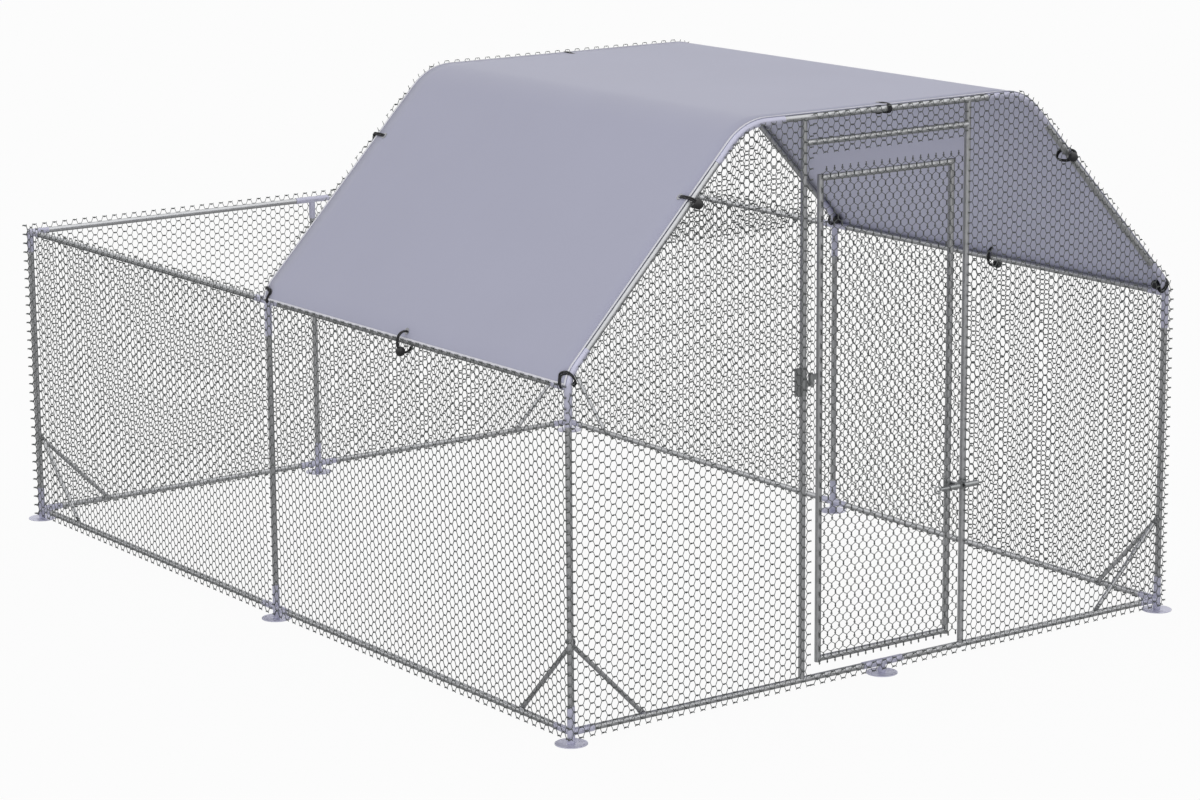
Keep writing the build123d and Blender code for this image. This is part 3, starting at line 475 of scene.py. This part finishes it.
def studio_floor(base, stage):
    """Matt studio floor: white to the camera but for a faint shadow, and dimmer as a light."""
    material, tree, shader, place = new_material("studio_floor")
    dust = add_node(tree, "ShaderNodeTexNoise", {"Vector": place, "Scale": scale_for(300), "Detail": 2.0})
    tint = add_node(tree, "ShaderNodeMix", {
        "Factor_Float": dust["Fac"],
        "A_Color": scaled(base, 0.99),
        "B_Color": scaled(base, 1.01),
    }, data_type="RGBA")
    plug(tree, shader, {"Base Color": tint["Result_Color"], "Roughness": 0.9})
    rays = add_node(tree, "ShaderNodeLightPath")
    unseen = add_node(tree, "ShaderNodeMix", {
        "Factor_Float": rays["Is Glossy Ray"],
        "A_Float": stage.floor_light,
        "B_Float": stage.horizon,
    })
    glow = add_node(tree, "ShaderNodeMix", {
        "Factor_Float": rays["Is Camera Ray"],
        "A_Float": unseen["Result_Float"],
        "B_Float": 1.0,
    })
    light = add_node(tree, "ShaderNodeEmission", {"Strength": glow["Result_Float"]})
    mixed = add_node(tree, "ShaderNodeMixShader", {
        "Fac": stage.floor_white,
        "Shader": shader.outputs["BSDF"],
        "Shader_001": light["Emission"],
    })
    plug(tree, tree.nodes["Material Output"], {"Surface": mixed["Shader"]})
    return material


# Shared making

def vertices_of(geometry):
    """Only the vertices of a list of mesh elements."""
    return [element for element in geometry if isinstance(element, bmesh.types.BMVert)]


def everything(mesh):
    """All vertices, edges and faces of a mesh."""
    return mesh.verts[:] + mesh.edges[:] + mesh.faces[:]


def repeat(mesh, step, count):
    """Copies all of a mesh in a row."""
    first = everything(mesh)
    for place in range(1, count):
        copy = bmesh.ops.duplicate(mesh, geom=first)["geom"]
        bmesh.ops.translate(mesh, verts=vertices_of(copy), vec=step * place)


def add_piece(name, data, material, body, nodes=()):
    """Makes an object that rides on a body and stands for CAD nodes."""
    data.materials.append(material)
    piece = bpy.data.objects.new(name, data)
    bpy.context.scene.collection.objects.link(piece)
    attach(piece, body)
    if nodes:
        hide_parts(*nodes)
    return piece


def mesh_data(name, mesh, smooth=True):
    """Turns a bmesh into mesh data."""
    for face in mesh.faces:
        face.smooth = smooth
    data = bpy.data.meshes.new(name)
    mesh.to_mesh(data)
    mesh.free()
    return data


def seat_at(spot, way):
    """Place at a spot, with its own Z along a direction."""
    return Matrix.Translation(spot) @ way.to_track_quat("Z", "Y").to_matrix().to_4x4()


def draw_tube(mesh, stops, sides):
    """Open tube along a path. Each stop is a spot, the direction of the path there and the tube's radius."""
    spot, way, radius = stops[0]
    ring = bmesh.ops.create_circle(mesh, segments=sides, radius=radius, matrix=seat_at(spot, way))["verts"]
    rim = list({edge for vertex in ring for edge in vertex.link_edges})
    for (before, way, radius), (after, next_way, next_radius) in zip(stops, stops[1:]):
        grown = bmesh.ops.extrude_edge_only(mesh, edges=rim)["geom"]
        verts = vertices_of(grown)
        turn = way.rotation_difference(next_way).to_matrix()
        bmesh.ops.rotate(mesh, verts=verts, cent=before, matrix=turn)
        bmesh.ops.translate(mesh, verts=verts, vec=after - before)
        growth = Vector((1, 1, 1)) * next_radius / radius
        bmesh.ops.scale(mesh, verts=verts, vec=growth, space=Matrix.Translation(-after))
        rim = [edge for edge in grown if isinstance(edge, bmesh.types.BMEdge) and edge.is_boundary]


def arch_turn(arch):
    """Angle of a rafter's outer side from level, where the eave bend ends and the slope starts."""
    across = RIDGE_BEND_X - (HALF_WIDTH - arch.eave_bend)
    up = (RIDGE_Z - arch.ridge_bend) - EAVE_BEND_Z
    return math.atan2(up, across) - math.acos((arch.eave_bend - arch.ridge_bend) / math.hypot(across, up))


def arch_bends(arch):
    """Centre and radius of the right-hand eave bend and ridge bend, in the plane of an arch."""
    eave = Vector((HALF_WIDTH - arch.eave_bend, 0, EAVE_BEND_Z))
    ridge = Vector((RIDGE_BEND_X, 0, RIDGE_Z - arch.ridge_bend))
    return (eave, arch.eave_bend), (ridge, arch.ridge_bend)


def outward(angle, side=1):
    """Direction out of the arch at an angle from level, on the right or the left side."""
    return Vector((side * math.cos(angle), 0, math.sin(angle)))


# Wire net

TWIST_STEPS = 3
WIRE_SIDES = 3
CUTS_PER_BEND = 3
WELD_SHARE = 0.1
CUT_TOLERANCE = MILLIMETRE / 100


def wire_over_one_period(mesh, net, column, pitch):
    """One wire: a turn round its lower neighbour, a slant up, a turn round the upper one, a slant down."""
    lean = math.atan2(pitch / 2, column - net.twist) / 2
    stops = []
    for start, height, side in ((0, 0, 1), (column, pitch / 2, -1)):
        for step in range(TWIST_STEPS + 1):
            turn = math.tau * step / TWIST_STEPS
            tilt = {0: -side * lean, TWIST_STEPS: side * lean}.get(step, 0)
            radius = net.zinc / 2 if 0 < step < TWIST_STEPS else net.wire / 2
            along = start + net.twist * step / TWIST_STEPS
            spot = Vector((along, height + side * radius * math.cos(turn), side * radius * math.sin(turn)))
            stops.append((spot, Vector((math.cos(tilt), math.sin(tilt), 0)), radius))
    first_spot, first_way, first_radius = stops[0]
    stops.append((first_spot + X * 2 * column, first_way, first_radius))
    draw_tube(mesh, stops, WIRE_SIDES)


def net_field(net, wide, high, narrow, low):
    """Net from the origin, along X and up Y, with whole meshes in its height and a twist at both of its ends.

    Narrow and low are the width and the height of a mesh, as shares of one on the sides.
    """
    mesh = bmesh.new()
    rows = round(high / (net.pitch * low))
    columns = round((wide - net.twist) / (net.column * narrow))
    pitch = high / rows
    column = (wide - net.twist) / columns
    wire_over_one_period(mesh, net, column, pitch)
    repeat(mesh, X * 2 * column, columns // 2 + 1)
    bmesh.ops.remove_doubles(mesh, verts=mesh.verts, dist=net.wire * WELD_SHARE)
    partner = vertices_of(bmesh.ops.duplicate(mesh, geom=everything(mesh))["geom"])
    bmesh.ops.rotate(mesh, verts=partner, matrix=Matrix.Rotation(math.pi, 3, "X"))
    bmesh.ops.translate(mesh, verts=partner, vec=Y * pitch)
    # One row more below and above, for the panel's cuts to trim
    bmesh.ops.translate(mesh, verts=mesh.verts, vec=-Y * pitch)
    repeat(mesh, Y * pitch, rows + 2)
    return mesh


def cut_away(mesh, spot, direction):
    """Removes what lies beyond a plane."""
    bmesh.ops.bisect_plane(
        mesh, geom=everything(mesh), dist=CUT_TOLERANCE, plane_co=spot, plane_no=direction, clear_outer=True)


def cut_to_arch(mesh, arch, overhang, sides):
    """Cuts a net along the outside of an arch, on the right (1) or left (-1) half."""
    turn = arch_turn(arch)
    (eave, eave_bend), (ridge, ridge_bend) = arch_bends(arch)
    for side in sides:
        for cut in range(1, CUTS_PER_BEND + 1):
            share = cut / CUTS_PER_BEND
            for centre, bend, angle in (
                    (eave, eave_bend, turn * share),
                    (ridge, ridge_bend, turn + (math.pi / 2 - turn) * share)):
                seat = Vector((side * centre.x, 0, centre.z))
                way = outward(angle, side)
                cut_away(mesh, seat + way * (bend + overhang), way)


def net_panel(net, wall, run, rise, across, up, narrow=1, low=1):
    """Net on a wall. Run and rise are its directions, across and up its limits along them."""
    wide, high = across[1] - across[0], up[1] - up[0]
    mesh = net_field(net, wide, high, narrow, low)
    turn = Matrix((run, rise, run.cross(rise))).transposed().to_4x4()
    start = wall + run * (across[0] - wall.dot(run)) + rise * (up[0] - wall.dot(rise))
    end = start + run * wide + rise * high
    bmesh.ops.transform(mesh, matrix=Matrix.Translation(start) @ turn, verts=mesh.verts)
    cut_away(mesh, start, -run)
    cut_away(mesh, end, run)
    cut_away(mesh, start - rise * net.zinc, -rise)
    cut_away(mesh, end + rise * net.zinc, rise)
    return mesh


def net_distance(net):
    """Distance from the middle of a wall's tubes to the middle of its net."""
    return SOCKET_RADIUS + net.zinc + net.seat


def add_net(name, mesh, colours, body, nodes=None):
    """Closes the cut wires of a net and makes it a piece, by default in place of the node of its name."""
    ends = [edge for edge in mesh.edges if edge.is_boundary]
    bmesh.ops.holes_fill(mesh, edges=ends, sides=0)
    bmesh.ops.recalc_face_normals(mesh, faces=mesh.faces)
    data = mesh_data(name + "_wire", mesh)
    wire = finish(galvanised_wire, colours.wire)
    return add_piece(data.name, data, wire, body, [name] if nodes is None else nodes)


class HENHOUSE_OT_nets(bpy.types.Operator):
    """Weave the wire net of the walls and the gable"""
    bl_idname = "henhouse.nets"
    bl_label = "Wall Nets"

    def execute(self, context):
        scene = context.scene
        net, arch, colours = scene.hen_house_net, scene.hen_house_arch, scene.hen_house_colours
        edge = HALF_WIDTH + net.post_overhang
        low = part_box("net_rear")[0].z
        run_top = EAVE_RAIL_Z + net.rail_overhang
        self.front_nets(net, arch, colours, edge, low)

        gable = Vector((0, net_distance(net), 0))
        rise = (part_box("net_middle_gable")[0].z, RIDGE_Z + net.middle_arch_overhang)
        mesh = net_panel(net, gable, -X, Z, (-edge, edge), rise, net.front_share)
        cut_to_arch(mesh, arch, net.middle_arch_overhang, [1, -1])
        add_net("net_middle_gable", mesh, colours, "house")

        rear = Vector((0, REAR_Y + net_distance(net), 0))
        mesh = net_panel(net, rear, -X, Z, (-edge, edge), (low, run_top), net.front_share)
        add_net("net_rear", mesh, colours, "house")

        self.side_nets(net, colours, low, run_top)
        return {"FINISHED"}

    @staticmethod
    def front_nets(net, arch, colours, edge, low):
        """Nets on both sides of the door, then the strips under it and over it."""
        wall = Vector((0, FRONT_Y - net_distance(net), 0))
        top = RIDGE_Z + net.ridge_overhang
        doorway = (net.jamb_overhang - JAMB_X, JAMB_X - TUBE_RADIUS)
        for name, side, across, overhang in (
                ("net_front_right", 1, (JAMB_X - TUBE_RADIUS / 2, edge), net.front_arch_overhang),
                ("net_front_left", -1, (-edge, doorway[0]), net.left_arch_overhang)):
            mesh = net_panel(net, wall, X, Z, across, (low, top), net.front_share)
            cut_to_arch(mesh, arch, overhang, [side])
            add_net(name, mesh, colours, "house")

        mesh = net_panel(net, wall, X, Z, doorway, (low, BASE_RAIL_Z + TUBE_RADIUS), net.front_share)
        add_net("sill", mesh, colours, "house", nodes=())

        header = Vector((0, FRONT_Y - TUBE_RADIUS - net.zinc, 0))
        rise = (HEADER_LOW_Z - net.header_overhang, top)
        mesh = net_panel(net, header, X, Z, doorway, rise, net.front_share)
        add_net("net_over_door", mesh, colours, "house")

    @staticmethod
    def side_nets(net, colours, low, run_top):
        """Two nets on each side: one under the cover's edge and one along the run."""
        front_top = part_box("net_right_front")[1].z
        for side, word in ((1, "right"), (-1, "left")):
            wall = Vector((side * (HALF_WIDTH + net_distance(net)), 0, 0))
            for name, top in ((f"net_{word}_front", front_top), (f"net_{word}_rear", run_top)):
                across = sorted((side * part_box(name)[0].y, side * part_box(name)[1].y))
                mesh = net_panel(net, wall, side * Y, Z, across, (low, top))
                add_net(name, mesh, colours, "house")


class HENHOUSE_OT_door_net(bpy.types.Operator):
    """Weave the door's net, with its twists upright"""
    bl_idname = "henhouse.door_net"
    bl_label = "Door Net"

    def execute(self, context):
        scene = context.scene
        net = scene.hen_house_net
        wall = Vector((0, FRONT_Y - net_distance(net), 0))
        across = (-STILE_X - net.stile_overhang, STILE_X + TUBE_RADIUS / 2)
        rise = (DOOR_LOW.z + net.twist / 2, DOOR_HIGH.z + net.door_overhang)
        mesh = net_panel(net, wall, Z, -X, rise, across, low=net.front_share)
        window = [face for face in mesh.faces if self.in_latch(face.calc_center_median())]
        bmesh.ops.delete(mesh, geom=window, context="FACES")
        add_net("door_net", mesh, scene.hen_house_colours, "door")
        return {"FINISHED"}

    @staticmethod
    def in_latch(spot):
        """Whether a spot of the net lies where the latch's bracket comes through."""
        return spot.x > LATCH_LOW.x and LATCH_LOW.z < spot.z < LATCH_HIGH.z


# Cover

COVER_STEPS = 28
SLOPE_STEPS = 14
HALF_TOP_STEPS = 4
BEND_STEPS = 8


def cover_section(mesh, arch, reach):
    """Half section of the cover at its front, from the lower edge over the slope to the ridge's middle."""
    turn = arch_turn(arch)
    (eave, eave_bend), (ridge, ridge_bend) = arch_bends(arch)
    first = math.asin((COVER_LOW.z - EAVE_BEND_Z) / (eave_bend + reach))
    front = Y * COVER_LOW.y
    last = [mesh.verts.new(front + eave + outward(first) * (eave_bend + reach))]
    last = bmesh.ops.spin(
        mesh, geom=last, cent=eave + front, axis=Y, angle=first - turn, steps=BEND_STEPS)["geom_last"]
    slope = (ridge - eave) + outward(turn) * (ridge_bend - eave_bend)
    last = extruded_line(mesh, last, slope, SLOPE_STEPS)
    rest = math.pi / 2 - turn
    last = bmesh.ops.spin(
        mesh, geom=last, cent=ridge + front, axis=Y, angle=-rest, steps=BEND_STEPS)["geom_last"]
    extruded_line(mesh, last, -X * RIDGE_BEND_X, HALF_TOP_STEPS)


def extruded_line(mesh, last, way, steps):
    """Draws a line of equal steps on from the last vertex."""
    for _ in range(steps):
        grown = bmesh.ops.extrude_vert_indiv(mesh, verts=vertices_of(last))["verts"]
        bmesh.ops.translate(mesh, verts=grown, vec=way / steps)
        last = grown
    return last


def cover_surface(arch, sag):
    """Whole cover as one curved sheet, sunk a little between its tubes."""
    mesh = bmesh.new()
    cover_section(mesh, arch, COVER_HIGH.z - RIDGE_Z)
    bmesh.ops.mirror(mesh, geom=everything(mesh), axis="X", merge_dist=MILLIMETRE)
    edges = mesh.edges[:]
    step = Y * (COVER_HIGH.y - COVER_LOW.y) / COVER_STEPS
    for _ in range(COVER_STEPS):
        grown = bmesh.ops.extrude_edge_only(mesh, edges=edges)["geom"]
        bmesh.ops.translate(mesh, verts=vertices_of(grown), vec=step)
        edges = [edge for edge in grown if isinstance(edge, bmesh.types.BMEdge) and edge.is_boundary]
        edges = [edge for edge in edges if abs(edge.verts[0].co.y - edge.verts[1].co.y) < MILLIMETRE]
    bmesh.ops.recalc_face_normals(mesh, faces=mesh.faces)
    sink_cover(mesh, arch, sag)
    return mesh


def sink_cover(mesh, arch, depth):
    """Lets the cloth sink between the tubes, most in the middle of the bay and of each side."""
    turn = arch_turn(arch)
    (eave, eave_bend), (ridge, ridge_bend) = arch_bends(arch)
    slope_low = eave.z + eave_bend * math.sin(turn)
    slope_high = ridge.z + ridge_bend * math.sin(turn)
    for vertex in mesh.verts:
        along = (vertex.co.y - COVER_LOW.y) / (COVER_HIGH.y - COVER_LOW.y)
        share = min(max((vertex.co.z - slope_low) / (slope_high - slope_low), 0), 1)
        way = outward(turn, math.copysign(1, vertex.co.x))
        if abs(vertex.co.x) < RIDGE_BEND_X:
            share = (vertex.co.x / RIDGE_BEND_X + 1) / 2
            way = Z
        vertex.co -= way * depth * math.sin(math.pi * along) * math.sin(math.pi * share)


class HENHOUSE_OT_cover(bpy.types.Operator):
    """Stretch the bound cover over the front bay"""
    bl_idname = "henhouse.cover"
    bl_label = "Cover"

    def execute(self, context):
        scene = context.scene
        arch, cover = scene.hen_house_arch, scene.hen_house_cover
        material = finish(coated_polyester, scene.hen_house_colours.cloth)
        mesh = cover_surface(arch, cover.sag)
        area = sum(face.calc_area() for face in mesh.faces)
        sheet = add_piece(
            "cover_sheet", mesh_data("cover_sheet", mesh), material, "house", ["cover"])
        self.thicken(sheet, cover.thickness, -1)

        # The pale bands along the edges are bound tape, made pale also as a painted highlight along the
        # cover's edges.
        mesh = self.edge_bands(cover_surface(arch, cover.sag), cover.binding)
        tape = finish(tape_and_painted_highlight, scene.hen_house_colours.binding)
        binding = add_piece("cover_binding", mesh_data("cover_binding", mesh), tape, "house")
        self.thicken(binding, cover.binding_lift, 1)
        return {"FINISHED"}

    @staticmethod
    def thicken(piece, thickness, offset):
        """Gives a sheet its thickness, inwards at -1 and outwards at 1."""
        wall = piece.modifiers.new("cloth", "SOLIDIFY")
        wall.thickness = thickness
        wall.offset = offset

    @staticmethod
    def edge_bands(mesh, width):
        """Leaves only a band along the four edges of the cover's surface."""
        seams = (
            (COVER_LOW + Y * width, Y),
            (COVER_HIGH - Y * width, -Y),
            (COVER_LOW + Z * width, Z),
        )
        for seam, inwards in seams:
            bmesh.ops.bisect_plane(mesh, geom=everything(mesh), plane_co=seam, plane_no=inwards)
        inner = []
        for face in mesh.faces:
            centre = face.calc_center_median()
            if all((centre - seam).dot(inwards) > 0 for seam, inwards in seams):
                inner.append(face)
        bmesh.ops.delete(mesh, geom=inner, context="FACES")
        return mesh


# Ball ties

# A corner's tie leaves the eyelet both ways. One way goes over the front of the arch to the ball inside,
# the other down over the eave and back under the cover's edge.
# In millimetres from the rail's end: out, back, up.
CORNER_ROUTE = (
    (6, 34, 42),
    (2, -14, 52),
    (-20, -22, 20),
    (-21, 8, 1),
    (-18, 34, 34),
    (-8, 30, 26),
    (4, 24, 4),
    (19, 21, 0),
    (16, 24, 22),
)
CURVE_STEPS = 6
STRAND_ROUNDNESS = 2
STRAND_SINK = 0.25
LOOP_CORNERS = 8


def add_strands(curve, spots, beside):
    """Two strands of elastic side by side, each a closed smooth line near a few spots."""
    for side in (-1, 1):
        spline = curve.splines.new("NURBS")
        spline.points.add(len(spots) - 1)
        for point, spot in zip(spline.points, spots):
            point.co = (spot + side * beside).to_4d()
        spline.order_u = 3
        spline.use_cyclic_u = True


def loop_spots(near, far, radius, top):
    """Eight spots round two centres, flattened where the loop lies on the cover. X runs from near to far."""
    short = radius * math.tan(math.pi / LOOP_CORNERS)
    spots = []
    for centre, way in ((far, 1), (near, -1)):
        for along, out in ((short, -radius), (radius, -short), (radius, short), (short, radius)):
            spots.append(Vector((centre.x + way * along, min(centre.y + way * out, top), 0)))
    return spots


class HENHOUSE_OT_ties(bpy.types.Operator):
    """Loop the elastic of the ball ties"""
    bl_idname = "henhouse.ties"
    bl_label = "Ball Ties"

    def execute(self, context):
        scene = context.scene
        arch, ties = scene.hen_house_arch, scene.hen_house_ties
        curve = bpy.data.curves.new("tie_elastic", "CURVE")
        curve.dimensions = "3D"
        curve.resolution_u = CURVE_STEPS
        curve.bevel_depth = ties.strand / 2
        curve.bevel_resolution = STRAND_ROUNDNESS
        for arch_y, under in ((FRONT_Y, Y), (0, -Y)):
            self.arch_loops(curve, arch, ties, arch_y, under)
            for side in (1, -1):
                corner = Vector((side * HALF_WIDTH, arch_y, EAVE_RAIL_Z))
                self.corner_loop(curve, ties, corner, Vector((side, under.y, 1)))
        self.eave_loops(curve, arch, ties)
        material = finish(woven_elastic, scene.hen_house_colours.elastic)
        add_piece("tie_elastic", curve, material, "house", ["tie_cords"])
        return {"FINISHED"}

    @staticmethod
    def flat_loop(curve, ties, spot, along, out, spots):
        """Loop in the plane of two directions through a spot."""
        across = along.cross(out)
        plane = Matrix.Translation(spot) @ Matrix((along, out, across)).transposed().to_4x4()
        add_strands(curve, [plane @ place for place in spots], across * ties.strand / 2)

    def arch_loops(self, curve, arch, ties, arch_y, under):
        """Loops round the ridge and the two rafters of an arch, through eyelets behind it."""
        turn = arch_turn(arch)
        (eave, eave_bend), (ridge, ridge_bend) = arch_bends(arch)
        start = eave + outward(turn) * eave_bend
        end = ridge + outward(turn) * ridge_bend
        rafter = start.lerp(end, self.slope_share(arch, ties, (end - start).length))
        # A strand sinks into the cloth by a share of its width where it goes through an eyelet.
        seat = COVER_HIGH.z - RIDGE_Z - ties.strand * STRAND_SINK
        top = seat + ties.strand
        loops = [(RIDGE_Z * Z, math.pi / 2, 1, 0, ties.ridge_loop, 0)]
        for side in (1, -1):
            place = rafter * Vector((side, 1, 1))
            loops.append((place, turn, side, ties.front_reach, ties.front_loop, ties.front_drop))
        for place, angle, side, reach, radius, drop in loops:
            depth = math.sqrt(radius ** 2 - (seat + drop) ** 2)
            near = Vector((-reach, -drop))
            far = Vector((ties.eyelet_inset - depth, -drop))
            spots = loop_spots(near, far, radius, top)
            self.flat_loop(curve, ties, place + Y * arch_y, under, outward(angle, side), spots)

    @staticmethod
    def slope_share(arch, ties, straight):
        """Share of the straight slope at which the rafter's tie sits, from its share between the corners."""
        turn = arch_turn(arch)
        low = arch.eave_bend * math.tan(turn / 2)
        high = arch.ridge_bend * math.tan((math.pi / 2 - turn) / 2)
        return (ties.rafter_share * (low + straight + high) - low) / straight

    @staticmethod
    def corner_loop(curve, ties, corner, mirror):
        """Loop that straddles an eave corner."""
        spots = [corner + Vector(place) * MILLIMETRE * mirror for place in CORNER_ROUTE]
        add_strands(curve, spots, (Y + Z) * mirror * ties.strand / 2)

    def eave_loops(self, curve, arch, ties):
        """Loops round the middle of each eave rail, up through an eyelet over it."""
        eave, eave_bend = arch_bends(arch)[0]
        eyelet = eave + outward(arch_turn(arch) / 2) * (eave_bend + COVER_HIGH.z - RIDGE_Z)
        stand_off = ties.eave_loop - TUBE_RADIUS - ties.eave_seat - ties.strand / 2
        up, out = eyelet.z - EAVE_RAIL_Z, eyelet.x - HALF_WIDTH
        far = Vector((up - math.sqrt(ties.eave_loop ** 2 - (stand_off - out) ** 2), stand_off))
        near = Vector((-ties.eave_reach, stand_off))
        spots = loop_spots(near, far, ties.eave_loop, stand_off + ties.eave_loop)
        for side in (1, -1):
            rail = Vector((side * HALF_WIDTH, FRONT_Y / 2, EAVE_RAIL_Z))
            self.flat_loop(curve, ties, rail, Z, side * X, spots)


# Bolts

BOLT_SIDES = 6


class HENHOUSE_OT_bolts(bpy.types.Operator):
    """Set the bolts of the braces and the hinge"""
    bl_idname = "henhouse.bolts"
    bl_label = "Bolts"

    def execute(self, context):
        scene = context.scene
        bolts = scene.hen_house_bolts
        mesh = bmesh.new()
        for side in (1, -1):
            for corner_y, back in ((FRONT_Y, Y), (REAR_Y, -Y)):
                corner = Vector((side * HALF_WIDTH, corner_y, BASE_RAIL_Z))
                self.brace_bolts(mesh, bolts, corner, -side * X, back)
                self.brace_bolts(mesh, bolts, corner, back, -side * X)
        ear_x = HINGE_LOW.x + bolts.ear / 2
        for ear_z in (HINGE_LOW.z + bolts.ear_spread, HINGE_HIGH.z - bolts.ear_spread):
            self.head(mesh, bolts, Vector((ear_x, FRONT_Y - bolts.ear_sheet, ear_z)), -Y)
        data = mesh_data("bolts", mesh, smooth=False)
        add_piece("bolts", data, finish(zinc_plated_steel, scene.hen_house_colours.zinc), "house")
        return {"FINISHED"}

    def brace_bolts(self, mesh, bolts, corner, along, inwards):
        """Bolts through the two ends of a brace, on the post and on the rail."""
        leg = BRACE_HIGH_Z - bolts.brace_tab / 2 - BASE_RAIL_Z
        face = corner + inwards * (TUBE_RADIUS + bolts.brace_sheet)
        for way in (Z, along):
            self.head(mesh, bolts, face + way * leg, inwards)

    @staticmethod
    def head(mesh, bolts, foot, way):
        """Six-sided head that stands on a face."""
        seat = seat_at(foot + way * bolts.height / 2, way)
        bmesh.ops.create_cone(
            mesh, cap_ends=True, segments=BOLT_SIDES, radius1=bolts.head / 2, radius2=bolts.head / 2,
            depth=bolts.height, matrix=seat)


# Finishes of the frame

class HENHOUSE_OT_finishes(bpy.types.Operator):
    """Give the tubes, connectors, fittings, eyelets and balls their finishes"""
    bl_idname = "henhouse.finishes"
    bl_label = "Finishes"

    def execute(self, context):
        colours = context.scene.hen_house_colours
        finishes = {
            "tubes": finish(galvanised_tube, colours.tube),
            "connectors": finish(powder_coated_steel, colours.connector),
            "fittings": finish(zinc_plated_steel, colours.zinc),
            "eyelets": finish(nickel_plated_brass, colours.eyelet),
            "balls": finish(moulded_nylon, colours.ball),
        }
        for part in frame["record"]["subparts"]:
            material = finishes.get(part["material_slot"])
            if material:
                data = frame["nodes"][part["node"]].data
                data.materials.clear()
                data.materials.append(material)
        return {"FINISHED"}


# Stage

class HENHOUSE_OT_stage(bpy.types.Operator):
    """Set the floor, the light and the camera"""
    bl_idname = "henhouse.stage"
    bl_label = "Stage"

    def execute(self, context):
        scene = context.scene
        stage = scene.hen_house_stage
        scene.view_settings.view_transform = "Standard"
        self.floor(scene, stage)
        self.sky(scene, stage)
        self.lamp(scene, "key", Vector(stage.key_place), stage.key, stage.lamp_size)
        fill = self.lamp(scene, "fill", Vector(stage.fill_place), stage.fill, stage.lamp_size)
        fill.visible_glossy = False
        self.camera(scene, stage)
        return {"FINISHED"}

    @staticmethod
    def floor(scene, stage):
        """Level floor under the object."""
        mesh = bmesh.new()
        bmesh.ops.create_grid(mesh, x_segments=1, y_segments=1, size=stage.floor_size)
        data = mesh_data("floor", mesh)
        data.materials.append(studio_floor(scene.hen_house_colours.floor, stage))
        floor = bpy.data.objects.new("floor", data)
        scene.collection.objects.link(floor)

    @staticmethod
    def sky(scene, stage):
        """White to the camera, even light on the object, and brighter above for what metal mirrors."""
        world = bpy.data.worlds.new("studio")
        world.use_nodes = True
        tree = world.node_tree
        rays = add_node(tree, "ShaderNodeLightPath")
        way = add_node(tree, "ShaderNodeTexCoord")["Generated"]
        height = add_node(tree, "ShaderNodeSeparateXYZ", {"Vector": way})["Z"]
        mirrored = add_node(tree, "ShaderNodeMapRange", {
            "Value": height, "From Max": stage.rise, "To Min": stage.horizon, "To Max": stage.zenith})
        unseen = add_node(tree, "ShaderNodeMix", {
            "Factor_Float": rays["Is Glossy Ray"], "A_Float": stage.sky, "B_Float": mirrored["Result"]})
        strength = add_node(tree, "ShaderNodeMix", {
            "Factor_Float": rays["Is Camera Ray"], "A_Float": unseen["Result_Float"], "B_Float": 1.0})
        plug(tree, tree.nodes["Background"], {"Color": (1, 1, 1, 1), "Strength": strength["Result_Float"]})
        scene.world = world

    @staticmethod
    def lamp(scene, name, place, power, size):
        """Large square lamp that points at the middle of the object."""
        light = bpy.data.lights.new(name, "AREA")
        light.energy = power
        light.size = size
        lamp = bpy.data.objects.new(name, light)
        lamp.location = place
        lamp.rotation_euler = (Z * EAVE_RAIL_Z / 2 - place).to_track_quat("-Z", "Y").to_euler()
        scene.collection.objects.link(lamp)
        return lamp

    @staticmethod
    def camera(scene, stage):
        """Camera at the photograph's place."""
        data = bpy.data.cameras.new("camera")
        data.lens = stage.lens
        data.clip_end = stage.sight
        camera = bpy.data.objects.new("camera", data)
        view = (Vector(stage.aim) - Vector(stage.place)).to_track_quat("-Z", "Y").to_matrix().to_4x4()
        camera.matrix_world = Matrix.Translation(stage.place) @ view @ Matrix.Rotation(stage.roll, 4, "Z")
        scene.collection.objects.link(camera)
        scene.camera = camera


OPERATORS = (
    HENHOUSE_OT_finishes,
    HENHOUSE_OT_nets,
    HENHOUSE_OT_door_net,
    HENHOUSE_OT_cover,
    HENHOUSE_OT_ties,
    HENHOUSE_OT_bolts,
    HENHOUSE_OT_stage,
)


class HENHOUSE_PT_panel(bpy.types.Panel):
    """Lists the pieces of the hen house"""
    bl_idname = "HENHOUSE_PT_panel"
    bl_label = "Walk-in Hen House"
    bl_space_type = "VIEW_3D"
    bl_region_type = "UI"
    bl_category = "Hen House"

    def draw(self, context):
        for operator in OPERATORS:
            self.layout.operator(operator.bl_idname)
        for group in GROUPS:
            box = self.layout.box()
            values = getattr(context.scene, group)
            for name in values.bl_rna.properties.keys():
                if name not in ("rna_type", "name"):
                    box.prop(values, name)


CLASSES = tuple(GROUPS.values()) + OPERATORS + (HENHOUSE_PT_panel,)


def register():
    """Adds the classes to Blender and the groups of settings to its scenes."""
    for item in CLASSES:
        bpy.utils.register_class(item)
    for name, group in GROUPS.items():
        setattr(bpy.types.Scene, name, bpy.props.PointerProperty(type=group))


def unregister():
    """Takes the groups of settings and the classes away again."""
    for name in GROUPS:
        delattr(bpy.types.Scene, name)
    for item in reversed(CLASSES):
        bpy.utils.unregister_class(item)


def main():
    """Makes the pieces in order."""
    register()
    bpy.ops.henhouse.finishes()
    bpy.ops.henhouse.nets()
    bpy.ops.henhouse.door_net()
    bpy.ops.henhouse.cover()
    bpy.ops.henhouse.ties()
    bpy.ops.henhouse.bolts()
    bpy.ops.henhouse.stage()


if __name__ == "__main__":
    main()
